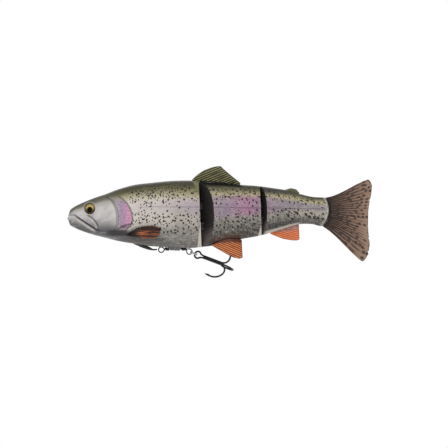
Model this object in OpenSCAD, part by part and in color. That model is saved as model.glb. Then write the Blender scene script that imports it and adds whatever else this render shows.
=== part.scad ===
// Jointed line-through swimbait, 250 mm class, millimetres.
// The origin is the line entry at the nose. +X runs to the tail, +Z is up,
// and the fish's left side faces -Y.

/* [Body] */
// Exponent of the trunk's rounded cross-section
trunk_roundness = 2.25; // [2:0.05:2.6]
// How far below the back the body is widest, as a share of its depth
widest_share = 0.45; // [0.35:0.01:0.55]
// Lean of the joint faces, top towards the nose, in degrees
front_joint_lean = 2.5; // [0:0.1:5]
rear_joint_lean = 2.1; // [0:0.1:5]

/* [Hinges] */
// Hinge pin positions along the body
front_hinge_x = 110.8; // [108:0.1:113]
rear_hinge_x = 160.0; // [157:0.1:163]
tail_hinge_x = 210.5; // [208:0.1:211]
// Bevel of the faces behind each hinge, from the crosswise plane, in degrees
front_bevel = 43; // [40:0.5:46]
rear_bevel = 30; // [26:0.5:33]
// Rounded nose of the sections at their hinges
front_nose_radius = 3.9; // [3.6:0.1:4.2]
rear_nose_radius = 3.5; // [3.2:0.1:3.8]
// How far each nose reaches into the shallow socket of the section ahead
nose_overlap = 0.1; // [0:0.05:0.2]
// Running gap between a nose and its socket
joint_gap = 0.3; // [0.2:0.05:0.4]
// Stainless hinge pins, and the running clearance round them
hinge_pin_radius = 0.8; // [0.7:0.05:1]
pin_clearance = 0.05; // [0.02:0.01:0.08]

/* [Line and rig] */
// Bore and wall of the tube that the fishing line runs through
line_bore_radius = 0.75; // [0.5:0.05:1]
line_tube_radius = 1.1; // [0.9:0.05:1.4]
// Slope of the line tube, in degrees
line_slope = 21; // [15:1:25]
// Wire sizes of the rig link, the split ring and the hook
rig_wire_radius = 0.48; // [0.4:0.02:0.5]
ring_wire_radius = 0.4; // [0.3:0.02:0.45]
hook_wire_radius = 0.75; // [0.6:0.05:0.8]
// Gape of the hook between shank and point
hook_gape = 15; // [13:0.5:16]
// Rest angle of ring and hook to the fish's right, in degrees
ring_yaw = 25; // [10:1:35]

/* [Eyes] */
// Radius of the eye
eye_radius = 4.4; // [3.8:0.1:4.8]

/* [Hidden] */
$fn = 48;

left = -1;
right = 1;

skin_color = [0.62, 0.60, 0.52];
frame_color = [0.85, 0.85, 0.80];
steel_color = [0.72, 0.73, 0.75];
ballast_color = [0.38, 0.39, 0.41];
orange_color = [0.76, 0.36, 0.16];
olive_color = [0.33, 0.32, 0.18];
tail_color = [0.46, 0.35, 0.27];
black_color = [0.08, 0.08, 0.09];

// Side and plan lines of the fish: position, back, belly, half width
body_lines = [
    [-1.6, 1.4, -1.4, 1.0], [-1.1, 3.4, -3.2, 2.3], [0, 6.2, -5.7, 3.7], [3.3, 9.0, -7.8, 5.3],
    [9.8, 12.3, -10.7, 7.6], [19.7, 16.4, -13.9, 10.0], [29.5, 19.7, -16.4, 11.8],
    [39.4, 23.5, -18.9, 13.0], [52.5, 27.1, -21.1, 14.2], [65.6, 28.7, -23.0, 15.0],
    [82, 30.3, -24.0, 15.2], [98.4, 30.7, -24.6, 14.8], [107, 29.8, -23.9, 14.5],
    [114.8, 29.0, -23.0, 14.0], [127, 28.3, -20.9, 13.0], [141, 27.1, -17.2, 11.8],
    [154.2, 26.2, -14.8, 10.8], [167.3, 24.4, -11.3, 9.4], [178, 22.7, -7.9, 7.9],
    [188.6, 19.7, -5.1, 6.2], [198.4, 17.4, -5.0, 4.7], [205, 16.9, -6.6, 3.6],
    [213.8, 16.6, -6.8, 2.7]];

function station(x, i = 0) =
    i >= len(body_lines) - 2 || x < body_lines[i + 1][0] ? i : station(x, i + 1);
function slope(i) =
    let (a = body_lines[max(i - 1, 0)], b = body_lines[min(i + 1, len(body_lines) - 1)])
    (b - a) / (b[0] - a[0]);
// Smooth curve through the body lines: position, back, belly, half width at x
function line_at(x) =
    let (i = station(x), a = body_lines[i], b = body_lines[i + 1],
        w = b[0] - a[0], t = (x - a[0]) / w)
    (2 * t * t * t - 3 * t * t + 1) * a + (t * t * t - 2 * t * t + t) * w * slope(i)
    + (3 * t * t - 2 * t * t * t) * b + (t * t * t - t * t) * w * slope(i + 1);
function middle_z(l) = l[1] - widest_share * (l[1] - l[2]);
function half_height(l, z) = z > middle_z(l) ? l[1] - middle_z(l) : middle_z(l) - l[2];
// Half width of the body at a height, and the belly's height at a width
function flank(x, z) =
    let (l = line_at(x), q = min(abs(z - middle_z(l)) / half_height(l, z), 0.98))
    l[3] * pow(1 - pow(q, trunk_roundness), 1 / trunk_roundness);
function belly(x, y) =
    let (l = line_at(x), q = min(abs(y) / l[3], 0.98))
    middle_z(l) - half_height(l, -99) * pow(1 - pow(q, trunk_roundness), 1 / trunk_roundness);

function rounded(v) = sign(v) * pow(abs(v), 2 / trunk_roundness);
function ring_points(x, count) =
    let (l = line_at(x), m = middle_z(l))
    [for (i = [0:count - 1])
        let (c = cos(360 * i / count), s = sin(360 * i / count))
        [x, l[3] * rounded(c), m + (s > 0 ? l[1] - m : m - l[2]) * rounded(s)]];

// Closed skin through rings of equal point count
module skinned(rings) {
    n = len(rings[0]);
    k = len(rings);
    side_faces = [for (j = [0:k - 2], i = [0:n - 1], h = [0, 1])
        let (a = j * n + i, b = j * n + (i + 1) % n)
        h == 0 ? [b + n, b, a] : [a + n, b + n, a]];
    first_cap = [[for (i = [0:n - 1]) i]];
    last_cap = [[for (i = [n - 1:-1:0]) (k - 1) * n + i]];
    polyhedron([for (r = rings, p = r) p], concat(side_faces, first_cap, last_cap));
}

// Length of body between two positions; bunching crowds the rings at the front
module trunk(x_start, x_end, steps, bunching = 1) {
    skinned([for (i = [0:steps])
        ring_points(x_start + (x_end - x_start) * pow(i / steps, bunching), 32)]);
}

// Thin plate through a grid of mid-surface points, tapering from row to row
module fin_plate(rows, thickness) {
    n = len(rows[0]);
    k = len(rows);
    points = [for (s = [-0.5, 0.5], j = [0:k - 1], i = [0:n - 1])
        rows[j][i] + [0, s * thickness[j], 0]];
    turn = cross(rows[k - 1][n - 1] - rows[0][0], rows[k - 1][0] - rows[0][n - 1])[1];
    faces = [for (s = [0, 1], j = [0:k - 2], i = [0:n - 2], h = [0, 1])
        let (a = s * n * k + j * n + i, b = a + 1, c = b + n, d = a + n)
        h == 0 ? (s == 0 ? [c, b, a] : [a, b, c]) : (s == 0 ? [d, c, a] : [a, c, d])];
    rim = concat([for (i = [0:n - 1]) i], [for (j = [1:k - 1]) j * n + n - 1],
        [for (i = [n - 2:-1:0]) (k - 1) * n + i], [for (j = [k - 2:-1:1]) j * n]);
    m = len(rim);
    rim_faces = [for (i = [0:m - 1], h = [0, 1])
        let (a = rim[i], b = rim[(i + 1) % m])
        h == 0 ? [a + n * k, a, b] : [b + n * k, a + n * k, b]];
    all_faces = concat(faces, rim_faces);
    polyhedron(points, turn < 0 ? all_faces : [for (f = all_faces) [f[2], f[1], f[0]]]);
}

// Fin spread between a root line and an edge line, points [x, z] in the fish's middle plane
module fin_blade(root, edge, root_thickness, edge_thickness, steps = 3) {
    fin_plate([for (j = [0:steps]) [for (i = [0:len(root) - 1])
        let (p = root[i] + (edge[i] - root[i]) * j / steps) [p[0], 0, p[1]]]],
        [for (j = [0:steps]) root_thickness + (edge_thickness - root_thickness) * j / steps]);
}

function unit(v) = v / norm(v);
// Tube of changing radius along a path, its section carried along without twist
module bent_wire(path, radii, sides = 8) {
    n = len(path);
    tangents = [for (i = [0:n - 1]) unit(path[min(i + 1, n - 1)] - path[max(i - 1, 0)])];
    normals = [for (i = 0, v = unit(cross(tangents[0], [0.3, 0.5, 0.8])); i < n;
        i = i + 1, v = i < n ? unit(v - (v * tangents[i]) * tangents[i]) : v) v];
    skinned([for (i = [0:n - 1]) [for (a = [0:sides - 1])
        path[i] + radii[i] * (cos(360 * a / sides) * normals[i]
            + sin(360 * a / sides) * cross(tangents[i], normals[i]))]]);
}
function same(path, r) = [for (p = path) r];

// Frame of a leaning hinge: local Z is the pin
module at_hinge(x, lean) {
    translate([x, 0, 0]) rotate([0, -lean, 0]) children();
}
module at_front_hinge() {
    at_hinge(front_hinge_x, front_joint_lean) children();
}
module at_rear_hinge() {
    at_hinge(rear_hinge_x, rear_joint_lean) children();
}

// Everything behind a rounded, bevelled hinge nose
module behind_nose(nose_radius, bevel) {
    far = 60;
    nose = [for (i = [-5:5]) nose_radius * [-cos(i * bevel / 5), sin(i * bevel / 5)]];
    side_x = nose[10][0] + (far - nose[10][1]) * tan(bevel);
    translate([0, 0, -50]) linear_extrude(100)
        polygon(concat(nose, [[side_x, far], [200, far], [200, -far], [side_x, -far]]));
}

// Everything in front of a flat face that sits ahead of the hinge
module ahead_of(distance) {
    translate([-distance - 300, -60, -60]) cube([300, 120, 120]);
}

module slab(x0, x1, width, z0, z1) {
    translate([x0, -width / 2, z0]) cube([x1 - x0, width, z1 - z0]);
}
module rod(radius, z0, z1) {
    translate([0, 0, z0]) cylinder(r = radius, h = z1 - z0);
}
module cross_hole(x, z, radius) {
    translate([x, 10, z]) rotate([90, 0, 0]) cylinder(r = radius, h = 20);
}

// Hinge tongues reach back to the pin, barrels sit round it in the next section
front_tongues = [[-9, -4], [7, 12]];
front_barrels = [[-14, -9.4], [-3.6, 6.6], [12.4, 17]];
rear_tongues = [[-4, 0], [8, 12]];
rear_barrels = [[-8, -4.4], [0.4, 7.6], [12.4, 16]];

module tongues(spans, x_root, width, eye, bore) {
    for (s = spans) difference() {
        union() {
            slab(x_root, 0, width, s[0], s[1]);
            rod(eye, s[0], s[1]);
        }
        rod(bore, s[0] - 1, s[1] + 1);
    }
}
module barrels(spans, x_root, width, eye, bore) {
    for (s = spans) difference() {
        union() {
            slab(0, x_root, width, s[0], s[1]);
            rod(eye, s[0], s[1]);
        }
        rod(bore, s[0] - 1, s[1] + 1);
    }
}
module tongue_slots(spans, radius, reach) {
    for (s = spans) {
        rod(radius, s[0] - 0.4, s[1] + 0.4);
        translate([-reach, -reach, s[0] - 0.4]) cube([reach, 2 * reach, s[1] - s[0] + 0.8]);
    }
}

// ---- front section ----

module front_frame() {
    color(frame_color) difference() {
        at_front_hinge() union() {
            slab(-24, -6.2, 3, -9, 12);
            tongues(front_tongues, -7, 4.4, 2.4, hinge_pin_radius + pin_clearance);
        }
        cross_hole(92, 6, 2.6);
        cross_hole(92, -3, 2.6);
        cross_hole(99, 1.5, 2.6);
    }
}

// Frame of the line tube: local Z runs along the line into the body
module at_line() {
    rotate([0, 90 + line_slope, 0]) children();
}
module line_tube() {
    color(black_color) at_line() difference() {
        cylinder(r = line_tube_radius, h = 69);
        translate([0, 0, -1]) cylinder(r = line_bore_radius, h = 72);
    }
}
module nose_grommet_body() {
    at_line() translate([0, 0, -1.9]) cylinder(r1 = 1.8, r2 = 2.2, h = 4.4);
}
module nose_grommet() {
    color(steel_color) difference() {
        nose_grommet_body();
        at_line() cylinder(r = line_tube_radius, h = 4);
        at_line() translate([0, 0, -2.2]) cylinder(r1 = 1.4, r2 = line_bore_radius, h = 2.21);
    }
}
module exit_sleeve_body() {
    at_line() {
        translate([0, 0, 56]) cylinder(r = 2.0, h = 6);
        translate([0, 0, 62]) cylinder(r1 = 2.0, r2 = 1.35, h = 8);
        translate([0, 0, 70]) cylinder(r1 = 1.35, r2 = 0.75, h = 2.2);
    }
}
module exit_sleeve() {
    color(black_color) difference() {
        union() {
            exit_sleeve_body();
            bent_wire([[66.9, 0, -25.68], [68.4, 0, -25.95], [70.0, 0, -25.95], [71.5, 0, -25.75]],
                [0.75, 0.66, 0.6, 0.55], 10);
        }
        at_line() translate([0, 0, 55]) cylinder(r = line_tube_radius, h = 14);
        at_line() translate([0, 0, 68]) cylinder(r = 0.4, h = 4);
        bent_wire([[66.4, 0, -25.5], [66.9, 0, -25.68], [68.4, 0, -25.95], [70.0, 0, -25.95],
            [71.7, 0, -25.72]], same([0, 1, 2, 3, 4], 0.3), 8);
    }
}

module front_ballast() {
    color(ballast_color) translate([80, 0, -15.5]) rotate([0, 90, 0]) cylinder(r = 4, h = 20);
}

// Eye frame: local Z is the outward direction of the head there
eye_x = 16.6;
eye_z = 7.6;
function outward(x, z, side) =
    unit([-(flank(x + 1, z) - flank(x - 1, z)) / 2, side, -(flank(x, z + 1) - flank(x, z - 1)) / 2]);
module at_eye(side) {
    v = outward(eye_x, eye_z, side);
    translate([eye_x, side * flank(eye_x, eye_z), eye_z])
        rotate([0, acos(v[2]), atan2(v[1], v[0])]) children();
}
module eye_disc(side) {
    color([0.75, 0.60, 0.22]) at_eye(side) translate([0, 0, -2.0]) cylinder(r = eye_radius, h = 1.2);
}
module eye_dome(side) {
    color([0.10, 0.09, 0.08]) at_eye(side) intersection() {
        translate([0, 0, -0.8]) cylinder(r = eye_radius, h = 4);
        translate([0, 0, -5.6]) sphere(6.7);
    }
}
module left_eye_disc() {
    eye_disc(left);
}
module right_eye_disc() {
    eye_disc(right);
}
module left_eye_dome() {
    eye_dome(left);
}
module right_eye_dome() {
    eye_dome(right);
}

// Pectoral fin: a curved plate that leaves the flank at its root and lies close along it
pectoral_low = [[43.6, -14.4], [50, -15.8], [57, -16.6], [63, -16.4], [69, -13.6], [74.2, -9.0]];
pectoral_high = [[44.2, -12.6], [49, -9.6], [54, -7.4], [60, -6.4], [68, -6.6], [74.6, -7.6]];
function pectoral_lift(x) = x < 50 ? -1.6 + 2.6 * (x - 43) / 7 : 1.0 + 0.035 * (x - 50);
module pectoral_fin(side) {
    color(orange_color) fin_plate([for (j = [0:4]) [for (i = [0:5])
        let (p = pectoral_low[i] + (pectoral_high[i] - pectoral_low[i]) * j / 4)
        [p[0], side * (flank(p[0], p[1]) + pectoral_lift(p[0])), p[1]]]],
        [0.9, 1.2, 1.4, 1.3, 1.0]);
}
module left_pectoral_fin() {
    pectoral_fin(left);
}
module right_pectoral_fin() {
    pectoral_fin(right);
}

module dorsal_fin() {
    color(olive_color) union() {
        fin_blade([[100.6, 29.4], [102.4, 29.2], [104.3, 29.2], [105.4, 30.1], [112, 29.7],
            [118, 29.2], [124, 28.9], [130, 28.5], [135, 28.05], [139.4, 27.65]],
            [[100.2, 31.2], [104.7, 34.8], [110.2, 38.4], [115.7, 40.8], [120.1, 42.4],
            [123.4, 42.6], [126.7, 39.5], [131.9, 35.1], [136, 31.8], [139.8, 28.7]], 2.2, 0.9);
        rotate([90, 0, 0]) translate([0, 0, -1.2]) linear_extrude(2.4)
            polygon([[101.4, 29.6], [105.1, 30.3], [105.1, 21.0], [103.6, 22.5]]);
    }
}

// The rig lies in a moulded boss, slit and loop pockets under the belly
module rig_room() {
    translate([72.2, -0.7, -31]) cube([5.2, 1.4, 8]);
    translate([77.0, -1.65, -31]) cube([4.5, 3.3, 7.2]);
    translate([81.0, -0.55, -31]) cube([10.2, 1.1, 6.1]);
    translate([90.7, -1.65, -31]) cube([5.5, 3.3, 7.2]);
    translate([96.0, -0.7, -31]) cube([4.9, 1.4, 7.6]);
}

module front_body() {
    color(skin_color) difference() {
        union() {
            trunk(-1.6, 112, 34, 1.35);
            translate([86.1, 0, -24.2]) scale([1, 0.55, 0.55]) rotate([0, 90, 0])
                translate([0, 0, -4.7]) rotate([0, 0, 11.25]) cylinder(r = 4.6, h = 9.4, $fn = 12);
        }
        at_front_hinge() translate([nose_overlap - front_nose_radius, -60, -60]) cube(120);
        at_front_hinge() rod(front_nose_radius + joint_gap, -60, 60);
        front_frame();
        at_line() translate([0, 0, 1]) cylinder(r = line_tube_radius, h = 60);
        nose_grommet_body();
        at_line() translate([0, 0, -4]) cylinder(r = 1.9, h = 3);
        exit_sleeve_body();
        front_ballast();
        for (side = [left, right]) at_eye(side) translate([0, 0, -2.0])
            cylinder(r = eye_radius, h = 6);
        left_pectoral_fin();
        right_pectoral_fin();
        dorsal_fin();
        rig_room();
        mouth_slit();
    }
}
// Mouth line from the snout back to the corner of the jaw, on both cheeks
mouth_outline = [[-4, 2.3], [4.0, 2.6], [6.0, 0.7], [12.2, -3.2], [18.4, -7.4], [21.8, -9.3],
    [21.7, -9.8], [18.2, -8.0], [12.0, -3.8], [5.8, 0.1], [3.8, 2.0], [-4, 1.7]];
module mouth_slit() {
    for (y = [-20, 2.8])
        translate([0, y + 17.2, 0]) rotate([90, 0, 0]) linear_extrude(17.2) polygon(mouth_outline);
}

// ---- middle section ----

module middle_frame() {
    color(frame_color) difference() {
        union() {
            at_front_hinge() barrels(front_barrels, 14, 4.4, 2.6, hinge_pin_radius);
            translate([118, -1.5, -14]) cube([6, 3, 29]);
            translate([118, -1.5, -4]) cube([34, 3, 14]);
            at_rear_hinge() tongues(rear_tongues, -11, 3.8, 2.0, hinge_pin_radius + pin_clearance);
        }
        cross_hole(130, 6, 2.4);
        cross_hole(138, 2.5, 2.4);
        cross_hole(145, 6, 1.8);
    }
}
module front_hinge_pin() {
    color(steel_color) at_front_hinge() rod(hinge_pin_radius, -14.5, 17.5);
}
module front_pin_plug() {
    color(skin_color) intersection() {
        trunk(104, 118, 8);
        at_front_hinge() rod(1.2, 17.5, 36);
    }
}
module middle_ballast() {
    color(ballast_color) translate([126.4, 0, -9.8]) rotate([0, 90, 0]) cylinder(r = 3, h = 15);
}

// Pelvic fin: splayed blade with its root sunk into the belly
pelvic_root = [[118.0, 5.6], [122.5, 5.8], [127, 6.0], [131.5, 6.0], [136, 6.0], [139.6, 5.8]];
pelvic_edge = [[118.6, 6.0, -23.2], [123.6, 7.9, -26.2], [129.4, 9.8, -29.8], [134.4, 11.2, -32.8],
    [139.8, 11.2, -32.6], [140.4, 8.4, -24.0]];
module pelvic_fin(side) {
    root = [for (p = pelvic_root) [p[0], side * p[1], belly(p[0], p[1]) + 1.4]];
    edge = [for (p = pelvic_edge) [p[0], side * p[1], p[2]]];
    color(orange_color) fin_plate([for (j = [0:3]) root + (edge - root) * j / 3],
        [1.8, 1.5, 1.2, 0.8]);
}
module left_pelvic_fin() {
    pelvic_fin(left);
}
module right_pelvic_fin() {
    pelvic_fin(right);
}

module middle_body() {
    color(skin_color) difference() {
        intersection() {
            trunk(104, 160, 22);
            at_front_hinge() behind_nose(front_nose_radius, front_bevel);
            at_rear_hinge() ahead_of(rear_nose_radius - nose_overlap);
        }
        at_rear_hinge() rod(rear_nose_radius + joint_gap, -60, 60);
        at_front_hinge() tongue_slots(front_tongues, 3.0, 9);
        at_front_hinge() rod(hinge_pin_radius, -14.5, 18);
        at_front_hinge() rod(1.2, 17.5, 40);
        middle_frame();
        middle_ballast();
        left_pelvic_fin();
        right_pelvic_fin();
    }
}

// ---- rear section ----

module rear_frame() {
    color(frame_color) difference() {
        union() {
            at_rear_hinge() barrels(rear_barrels, 11, 3.8, 2.2, hinge_pin_radius);
            translate([166, -1.3, -7.4]) cube([5, 2.6, 23]);
            translate([166, -1.3, 2]) cube([41, 2.6, 6]);
            translate([206, -1.3, 3.5]) cube([4.5, 2.6, 3]);
            translate([tail_hinge_x, 0, 0]) rod(1.6, 3.5, 6.5);
        }
        translate([tail_hinge_x, 0, 0]) rod(0.6, 0, 10);
        cross_hole(178, 5, 1.6);
        cross_hole(188, 5, 1.6);
        cross_hole(198, 5, 1.6);
    }
}
module rear_hinge_pin() {
    color(steel_color) at_rear_hinge() rod(hinge_pin_radius, -8.5, 16.5);
}
module rear_pin_plug() {
    color(skin_color) intersection() {
        trunk(154, 166, 8);
        at_rear_hinge() rod(1.2, 16.5, 34);
    }
}
module anal_fin() {
    color(orange_color) fin_blade([[166.2, -10.2], [171.5, -8.8], [177, -6.8], [182.5, -5.0],
        [187.4, -3.6]], [[165.8, -12.8], [172.4, -14.9], [178.6, -16.9], [183.4, -17.7],
        [187.9, -18.0]], 1.8, 0.8);
}
module tail_pin() {
    color(steel_color) translate([tail_hinge_x, 0, 0]) rod(0.6, 0.2, 11.8);
}
module adipose_fin() {
    fin_blade([[176.4, 21.6], [180, 20.8], [184, 19.4], [187, 18.4]],
        [[176.6, 23.3], [181, 24.5], [185.4, 23.6], [188.2, 20.6]], 2.2, 1.0);
}
// Rounded end of the tail stalk, and the flared slot that the tail fin swings in
module stalk_end() {
    translate([199.2, 0, 6.3]) rotate([90, 0, 0]) translate([0, 0, -20]) cylinder(r = 14.3, h = 40);
    translate([120, -20, -30]) cube([79.2, 40, 70]);
}
module tail_slot() {
    translate([tail_hinge_x, 0, 0]) {
        rod(2.0, -0.1, 12.1);
        translate([0, 0, -30]) linear_extrude(60) polygon([[-0.6, -0.85], [8, -2.75], [8, 2.75],
            [-0.6, 0.85]]);
    }
}

module rear_body() {
    color(skin_color) difference() {
        union() {
            intersection() {
                trunk(154, 213.8, 24);
                at_rear_hinge() behind_nose(rear_nose_radius, rear_bevel);
                stalk_end();
            }
            adipose_fin();
        }
        at_rear_hinge() tongue_slots(rear_tongues, 2.6, 8);
        at_rear_hinge() rod(hinge_pin_radius, -8.5, 17);
        at_rear_hinge() rod(1.2, 16.5, 40);
        rear_frame();
        anal_fin();
        tail_slot();
    }
}

// ---- tail ----

tail_root = [[210.2, 16.4], [210.6, 14.6], [210.8, 12.6], [210.8, 10.3], [210.8, 8.0],
    [210.8, 5.5], [210.8, 3.0], [210.8, 0.6], [210.6, -1.6], [210.4, -3.6], [209.8, -5.4],
    [209.2, -7.2]];
tail_edge = [[246, 31.5], [247.8, 26], [247.2, 19.5], [244.9, 14.3], [245.8, 9.5], [244.2, 3],
    [244.1, -4], [244.9, -13], [244.4, -16.9], [246, -23.5], [244.1, -28.1], [241.2, -35.9]];
module tail_fin() {
    color(tail_color) difference() {
        union() {
            fin_blade(tail_root, tail_edge, 1.4, 0.8, 4);
            translate([tail_hinge_x, 0, 0]) rod(1.6, 0.6, 11.4);
        }
        translate([tail_hinge_x, 0, 0]) rod(0.65, 0, 12);
        translate([205, -4, 3.2]) cube([7.6, 8, 3.6]);
    }
}

// ---- rig ----

shank_z = -25.4;
function helix(x0, x1, turns, phase, steps) =
    [for (i = [0:steps]) let (t = i / steps, a = phase + 360 * turns * t)
        [x0 + (x1 - x0) * t, 1.04 * cos(a), shank_z + 1.04 * sin(a)]];
function arc_xz(cx, cz, r, a0, a1, y0, y1, steps) =
    [for (i = [0:steps]) let (t = i / steps, a = a0 + (a1 - a0) * t)
        [cx + r * cos(a), y0 + (y1 - y0) * t, cz + r * sin(a)]];

// One wire: coil, front loop, shank, rear loop, coil
module rig_link() {
    path = concat(
        helix(81.0, 77.9, 2.75, -90, 30),
        arc_xz(74.8, -26.0, 2.2, -30, -340, -0.75, 0, 26),
        [[78.4, 0, shank_z], [84, 0, shank_z], [91, 0, shank_z], [96.2, 0, shank_z]],
        arc_xz(97.9, -27.6, 2.2, 90, -175, 0, 0.75, 24),
        [[95.6, 1.0, -26.4]],
        helix(95.2, 91.2, 3.5, 0, 38));
    color(black_color) bent_wire(path, same(path, rig_wire_radius));
}

// Ring frame: origin where the ring hangs in the rig's rear loop, local Z is its swing axis
ring_contact = [97.9 + 2.2 * cos(line_slope), 0, -27.6 - 2.2 * sin(line_slope)];
module at_ring() {
    translate(ring_contact) rotate([0, line_slope, 0]) rotate([0, 0, ring_yaw]) children();
}
module split_ring() {
    steps = 64;
    path = [for (i = [0:steps])
        let (a = 100 + 716 * i / steps, s = min(max((i - 29) / 6, 0), 1))
        [1.75 + 3 * cos(a), 3 * sin(a), -0.43 + 0.86 * s]];
    color(steel_color) at_ring() bent_wire(path, same(path, ring_wire_radius));
}

// Hook frame: origin at the hook's eye centre, X down the shank, its eye lies in the XZ plane
hook_eye_x = 5.64;
shank_offset = 1.0;
bend_x = 22.5;
point_x = 15.9;
module at_hook() {
    at_ring() translate([hook_eye_x, 0, 0]) children();
}
function prong_dir(a) = [0, sin(a), -cos(a)];
function prong_out(a) =
    let (u = prong_dir(a), r = hook_gape / 2, c = shank_offset + r)
    concat([for (i = [0:12]) let (t = 180 * i / 12)
        [bend_x + r * sin(t), 0, 0] + (c - r * cos(t)) * u],
        [for (x = [20.5, 18.6, 17.2, 16.4, point_x]) [x, 0, 0] + (c + r - 0.05 * (bend_x - x)) * u]);
prong_radii = concat([for (i = [0:12]) hook_wire_radius],
    [0.75, 0.7, 0.45, 0.24, 0.06] * hook_wire_radius / 0.75);
function backwards(list) = [for (i = [len(list) - 1:-1:0]) list[i]];

first_prong = 36;
second_prong = 156;
third_prong = 276;

module hook_double_wire() {
    a = first_prong;
    b = second_prong;
    eye = [for (i = [0:20]) let (t = -36 - 288 * i / 20)
        [2.8 * cos(t), 0, 2.8 * sin(t)]];
    path = concat(backwards(prong_out(a)),
        [[12, 0, 0] + shank_offset * prong_dir(a), [5.4, 0, 0] + shank_offset * prong_dir(a),
            [3.7, 0.3, -1.15]],
        eye,
        [[3.7, 0.2, 1.15], [5.4, 0, 0] + shank_offset * prong_dir(b),
            [12, 0, 0] + shank_offset * prong_dir(b)],
        prong_out(b));
    radii = concat(backwards(prong_radii), same([for (i = [0:26]) i], hook_wire_radius),
        prong_radii);
    color(black_color) at_hook() bent_wire(path, radii);
}
module hook_third_wire() {
    c = third_prong;
    path = concat([[5.2, 0, 0] + shank_offset * prong_dir(c)], prong_out(c));
    color(black_color) at_hook() bent_wire(path, concat([hook_wire_radius], prong_radii));
}
module hook_braze() {
    color(black_color) difference() {
        at_hook() translate([7, 0, 0]) rotate([0, 90, 0]) cylinder(r = 1.15, h = 12);
        hook_double_wire();
        hook_third_wire();
    }
}

front_body();
front_frame();
line_tube();
nose_grommet();
exit_sleeve();
front_ballast();
left_eye_disc();
right_eye_disc();
left_eye_dome();
right_eye_dome();
left_pectoral_fin();
right_pectoral_fin();
dorsal_fin();
middle_body();
middle_frame();
front_hinge_pin();
front_pin_plug();
middle_ballast();
left_pelvic_fin();
right_pelvic_fin();
rear_body();
rear_frame();
rear_hinge_pin();
rear_pin_plug();
anal_fin();
tail_pin();
tail_fin();
rig_link();
split_ring();
hook_double_wire();
hook_third_wire();
hook_braze();
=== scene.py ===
"""Jointed swimbait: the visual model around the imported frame.

Lengths are millimetres until a mesh is made.
"""
import math

import bpy
import numpy as np
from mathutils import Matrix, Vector


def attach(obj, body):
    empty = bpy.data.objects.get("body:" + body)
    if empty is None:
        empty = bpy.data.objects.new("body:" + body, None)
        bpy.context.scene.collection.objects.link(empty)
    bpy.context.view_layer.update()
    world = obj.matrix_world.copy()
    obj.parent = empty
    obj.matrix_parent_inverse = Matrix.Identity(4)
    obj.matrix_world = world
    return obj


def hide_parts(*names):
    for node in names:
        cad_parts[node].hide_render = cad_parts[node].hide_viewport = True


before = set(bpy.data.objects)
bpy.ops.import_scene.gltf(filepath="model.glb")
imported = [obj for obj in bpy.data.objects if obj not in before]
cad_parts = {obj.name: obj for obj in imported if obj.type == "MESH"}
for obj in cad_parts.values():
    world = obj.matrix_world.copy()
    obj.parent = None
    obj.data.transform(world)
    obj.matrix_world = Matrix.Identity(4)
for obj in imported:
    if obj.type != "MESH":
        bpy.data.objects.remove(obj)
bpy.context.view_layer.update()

MM = 0.001
SIDES = {"left": -1, "right": 1}

# ---------------- the fish's lines, as in the CAD

# position, back, belly, half width
BODY_LINES = np.array([
    [-1.4, 1.4, -1.4, 1.1], [-0.9, 3.4, -3.2, 2.4], [0, 6.2, -5.7, 3.7], [3.3, 9.0, -7.8, 5.3],
    [9.8, 12.3, -10.7, 7.6], [19.7, 16.4, -13.9, 10.0], [29.5, 19.7, -16.4, 11.8],
    [39.4, 23.5, -18.9, 13.0], [52.5, 27.1, -21.1, 14.2], [65.6, 28.7, -23.0, 15.0],
    [82, 30.3, -24.0, 15.2], [98.4, 30.7, -24.6, 14.8], [107, 29.8, -23.9, 14.5],
    [114.8, 29.0, -23.0, 14.0], [127, 28.3, -20.9, 13.0], [141, 27.1, -17.2, 11.8],
    [154.2, 26.2, -14.8, 10.8], [167.3, 24.4, -11.3, 9.4], [178, 22.7, -7.9, 7.9],
    [188.6, 19.7, -5.1, 6.2], [198.4, 17.4, -5.0, 4.7], [205, 16.9, -6.6, 3.6],
    [213.8, 16.6, -6.8, 2.7]])
ROUNDNESS = 2.25
WIDEST = 0.45
FRONT_X, FRONT_LEAN, FRONT_BEVEL, FRONT_NOSE = 110.8, math.radians(2.5), math.radians(43), 3.9
REAR_X, REAR_LEAN, REAR_BEVEL, REAR_NOSE = 160.0, math.radians(2.1), math.radians(30), 3.5
NOSE_OVERLAP = 0.1
JOINT_GAP = 0.3
TAIL_X = 210.5
LINE_SLOPE = math.radians(21)


def lines_at(x):
    """Smooth curve through the body lines: position, back, belly, half width."""
    x = np.asarray(x, float)
    last = len(BODY_LINES) - 1
    i = np.clip(np.searchsorted(BODY_LINES[:, 0], x, side="right") - 1, 0, last - 1)

    def slope(k):
        lo, hi = BODY_LINES[np.maximum(k - 1, 0)], BODY_LINES[np.minimum(k + 1, last)]
        return (hi - lo) / (hi[..., :1] - lo[..., :1])
    a, b = BODY_LINES[i], BODY_LINES[i + 1]
    w = (b - a)[..., :1]
    t = (x[..., None] - a[..., :1]) / w
    return ((2 * t**3 - 3 * t**2 + 1) * a + (t**3 - 2 * t**2 + t) * w * slope(i)
            + (3 * t**2 - 2 * t**3) * b + (t**3 - t**2) * w * slope(i + 1))


def around(x, angle):
    """y and z of the trunk at a position and an angle round it."""
    line = lines_at(x)
    back, belly, half = line[..., 1], line[..., 2], line[..., 3]
    mid = back - WIDEST * (back - belly)
    c, s = np.cos(angle), np.sin(angle)
    rc = np.sign(c) * np.abs(c) ** (2 / ROUNDNESS)
    rs = np.sign(s) * np.abs(s) ** (2 / ROUNDNESS)
    return half * rc, mid + np.where(s > 0, back - mid, mid - belly) * rs


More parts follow.
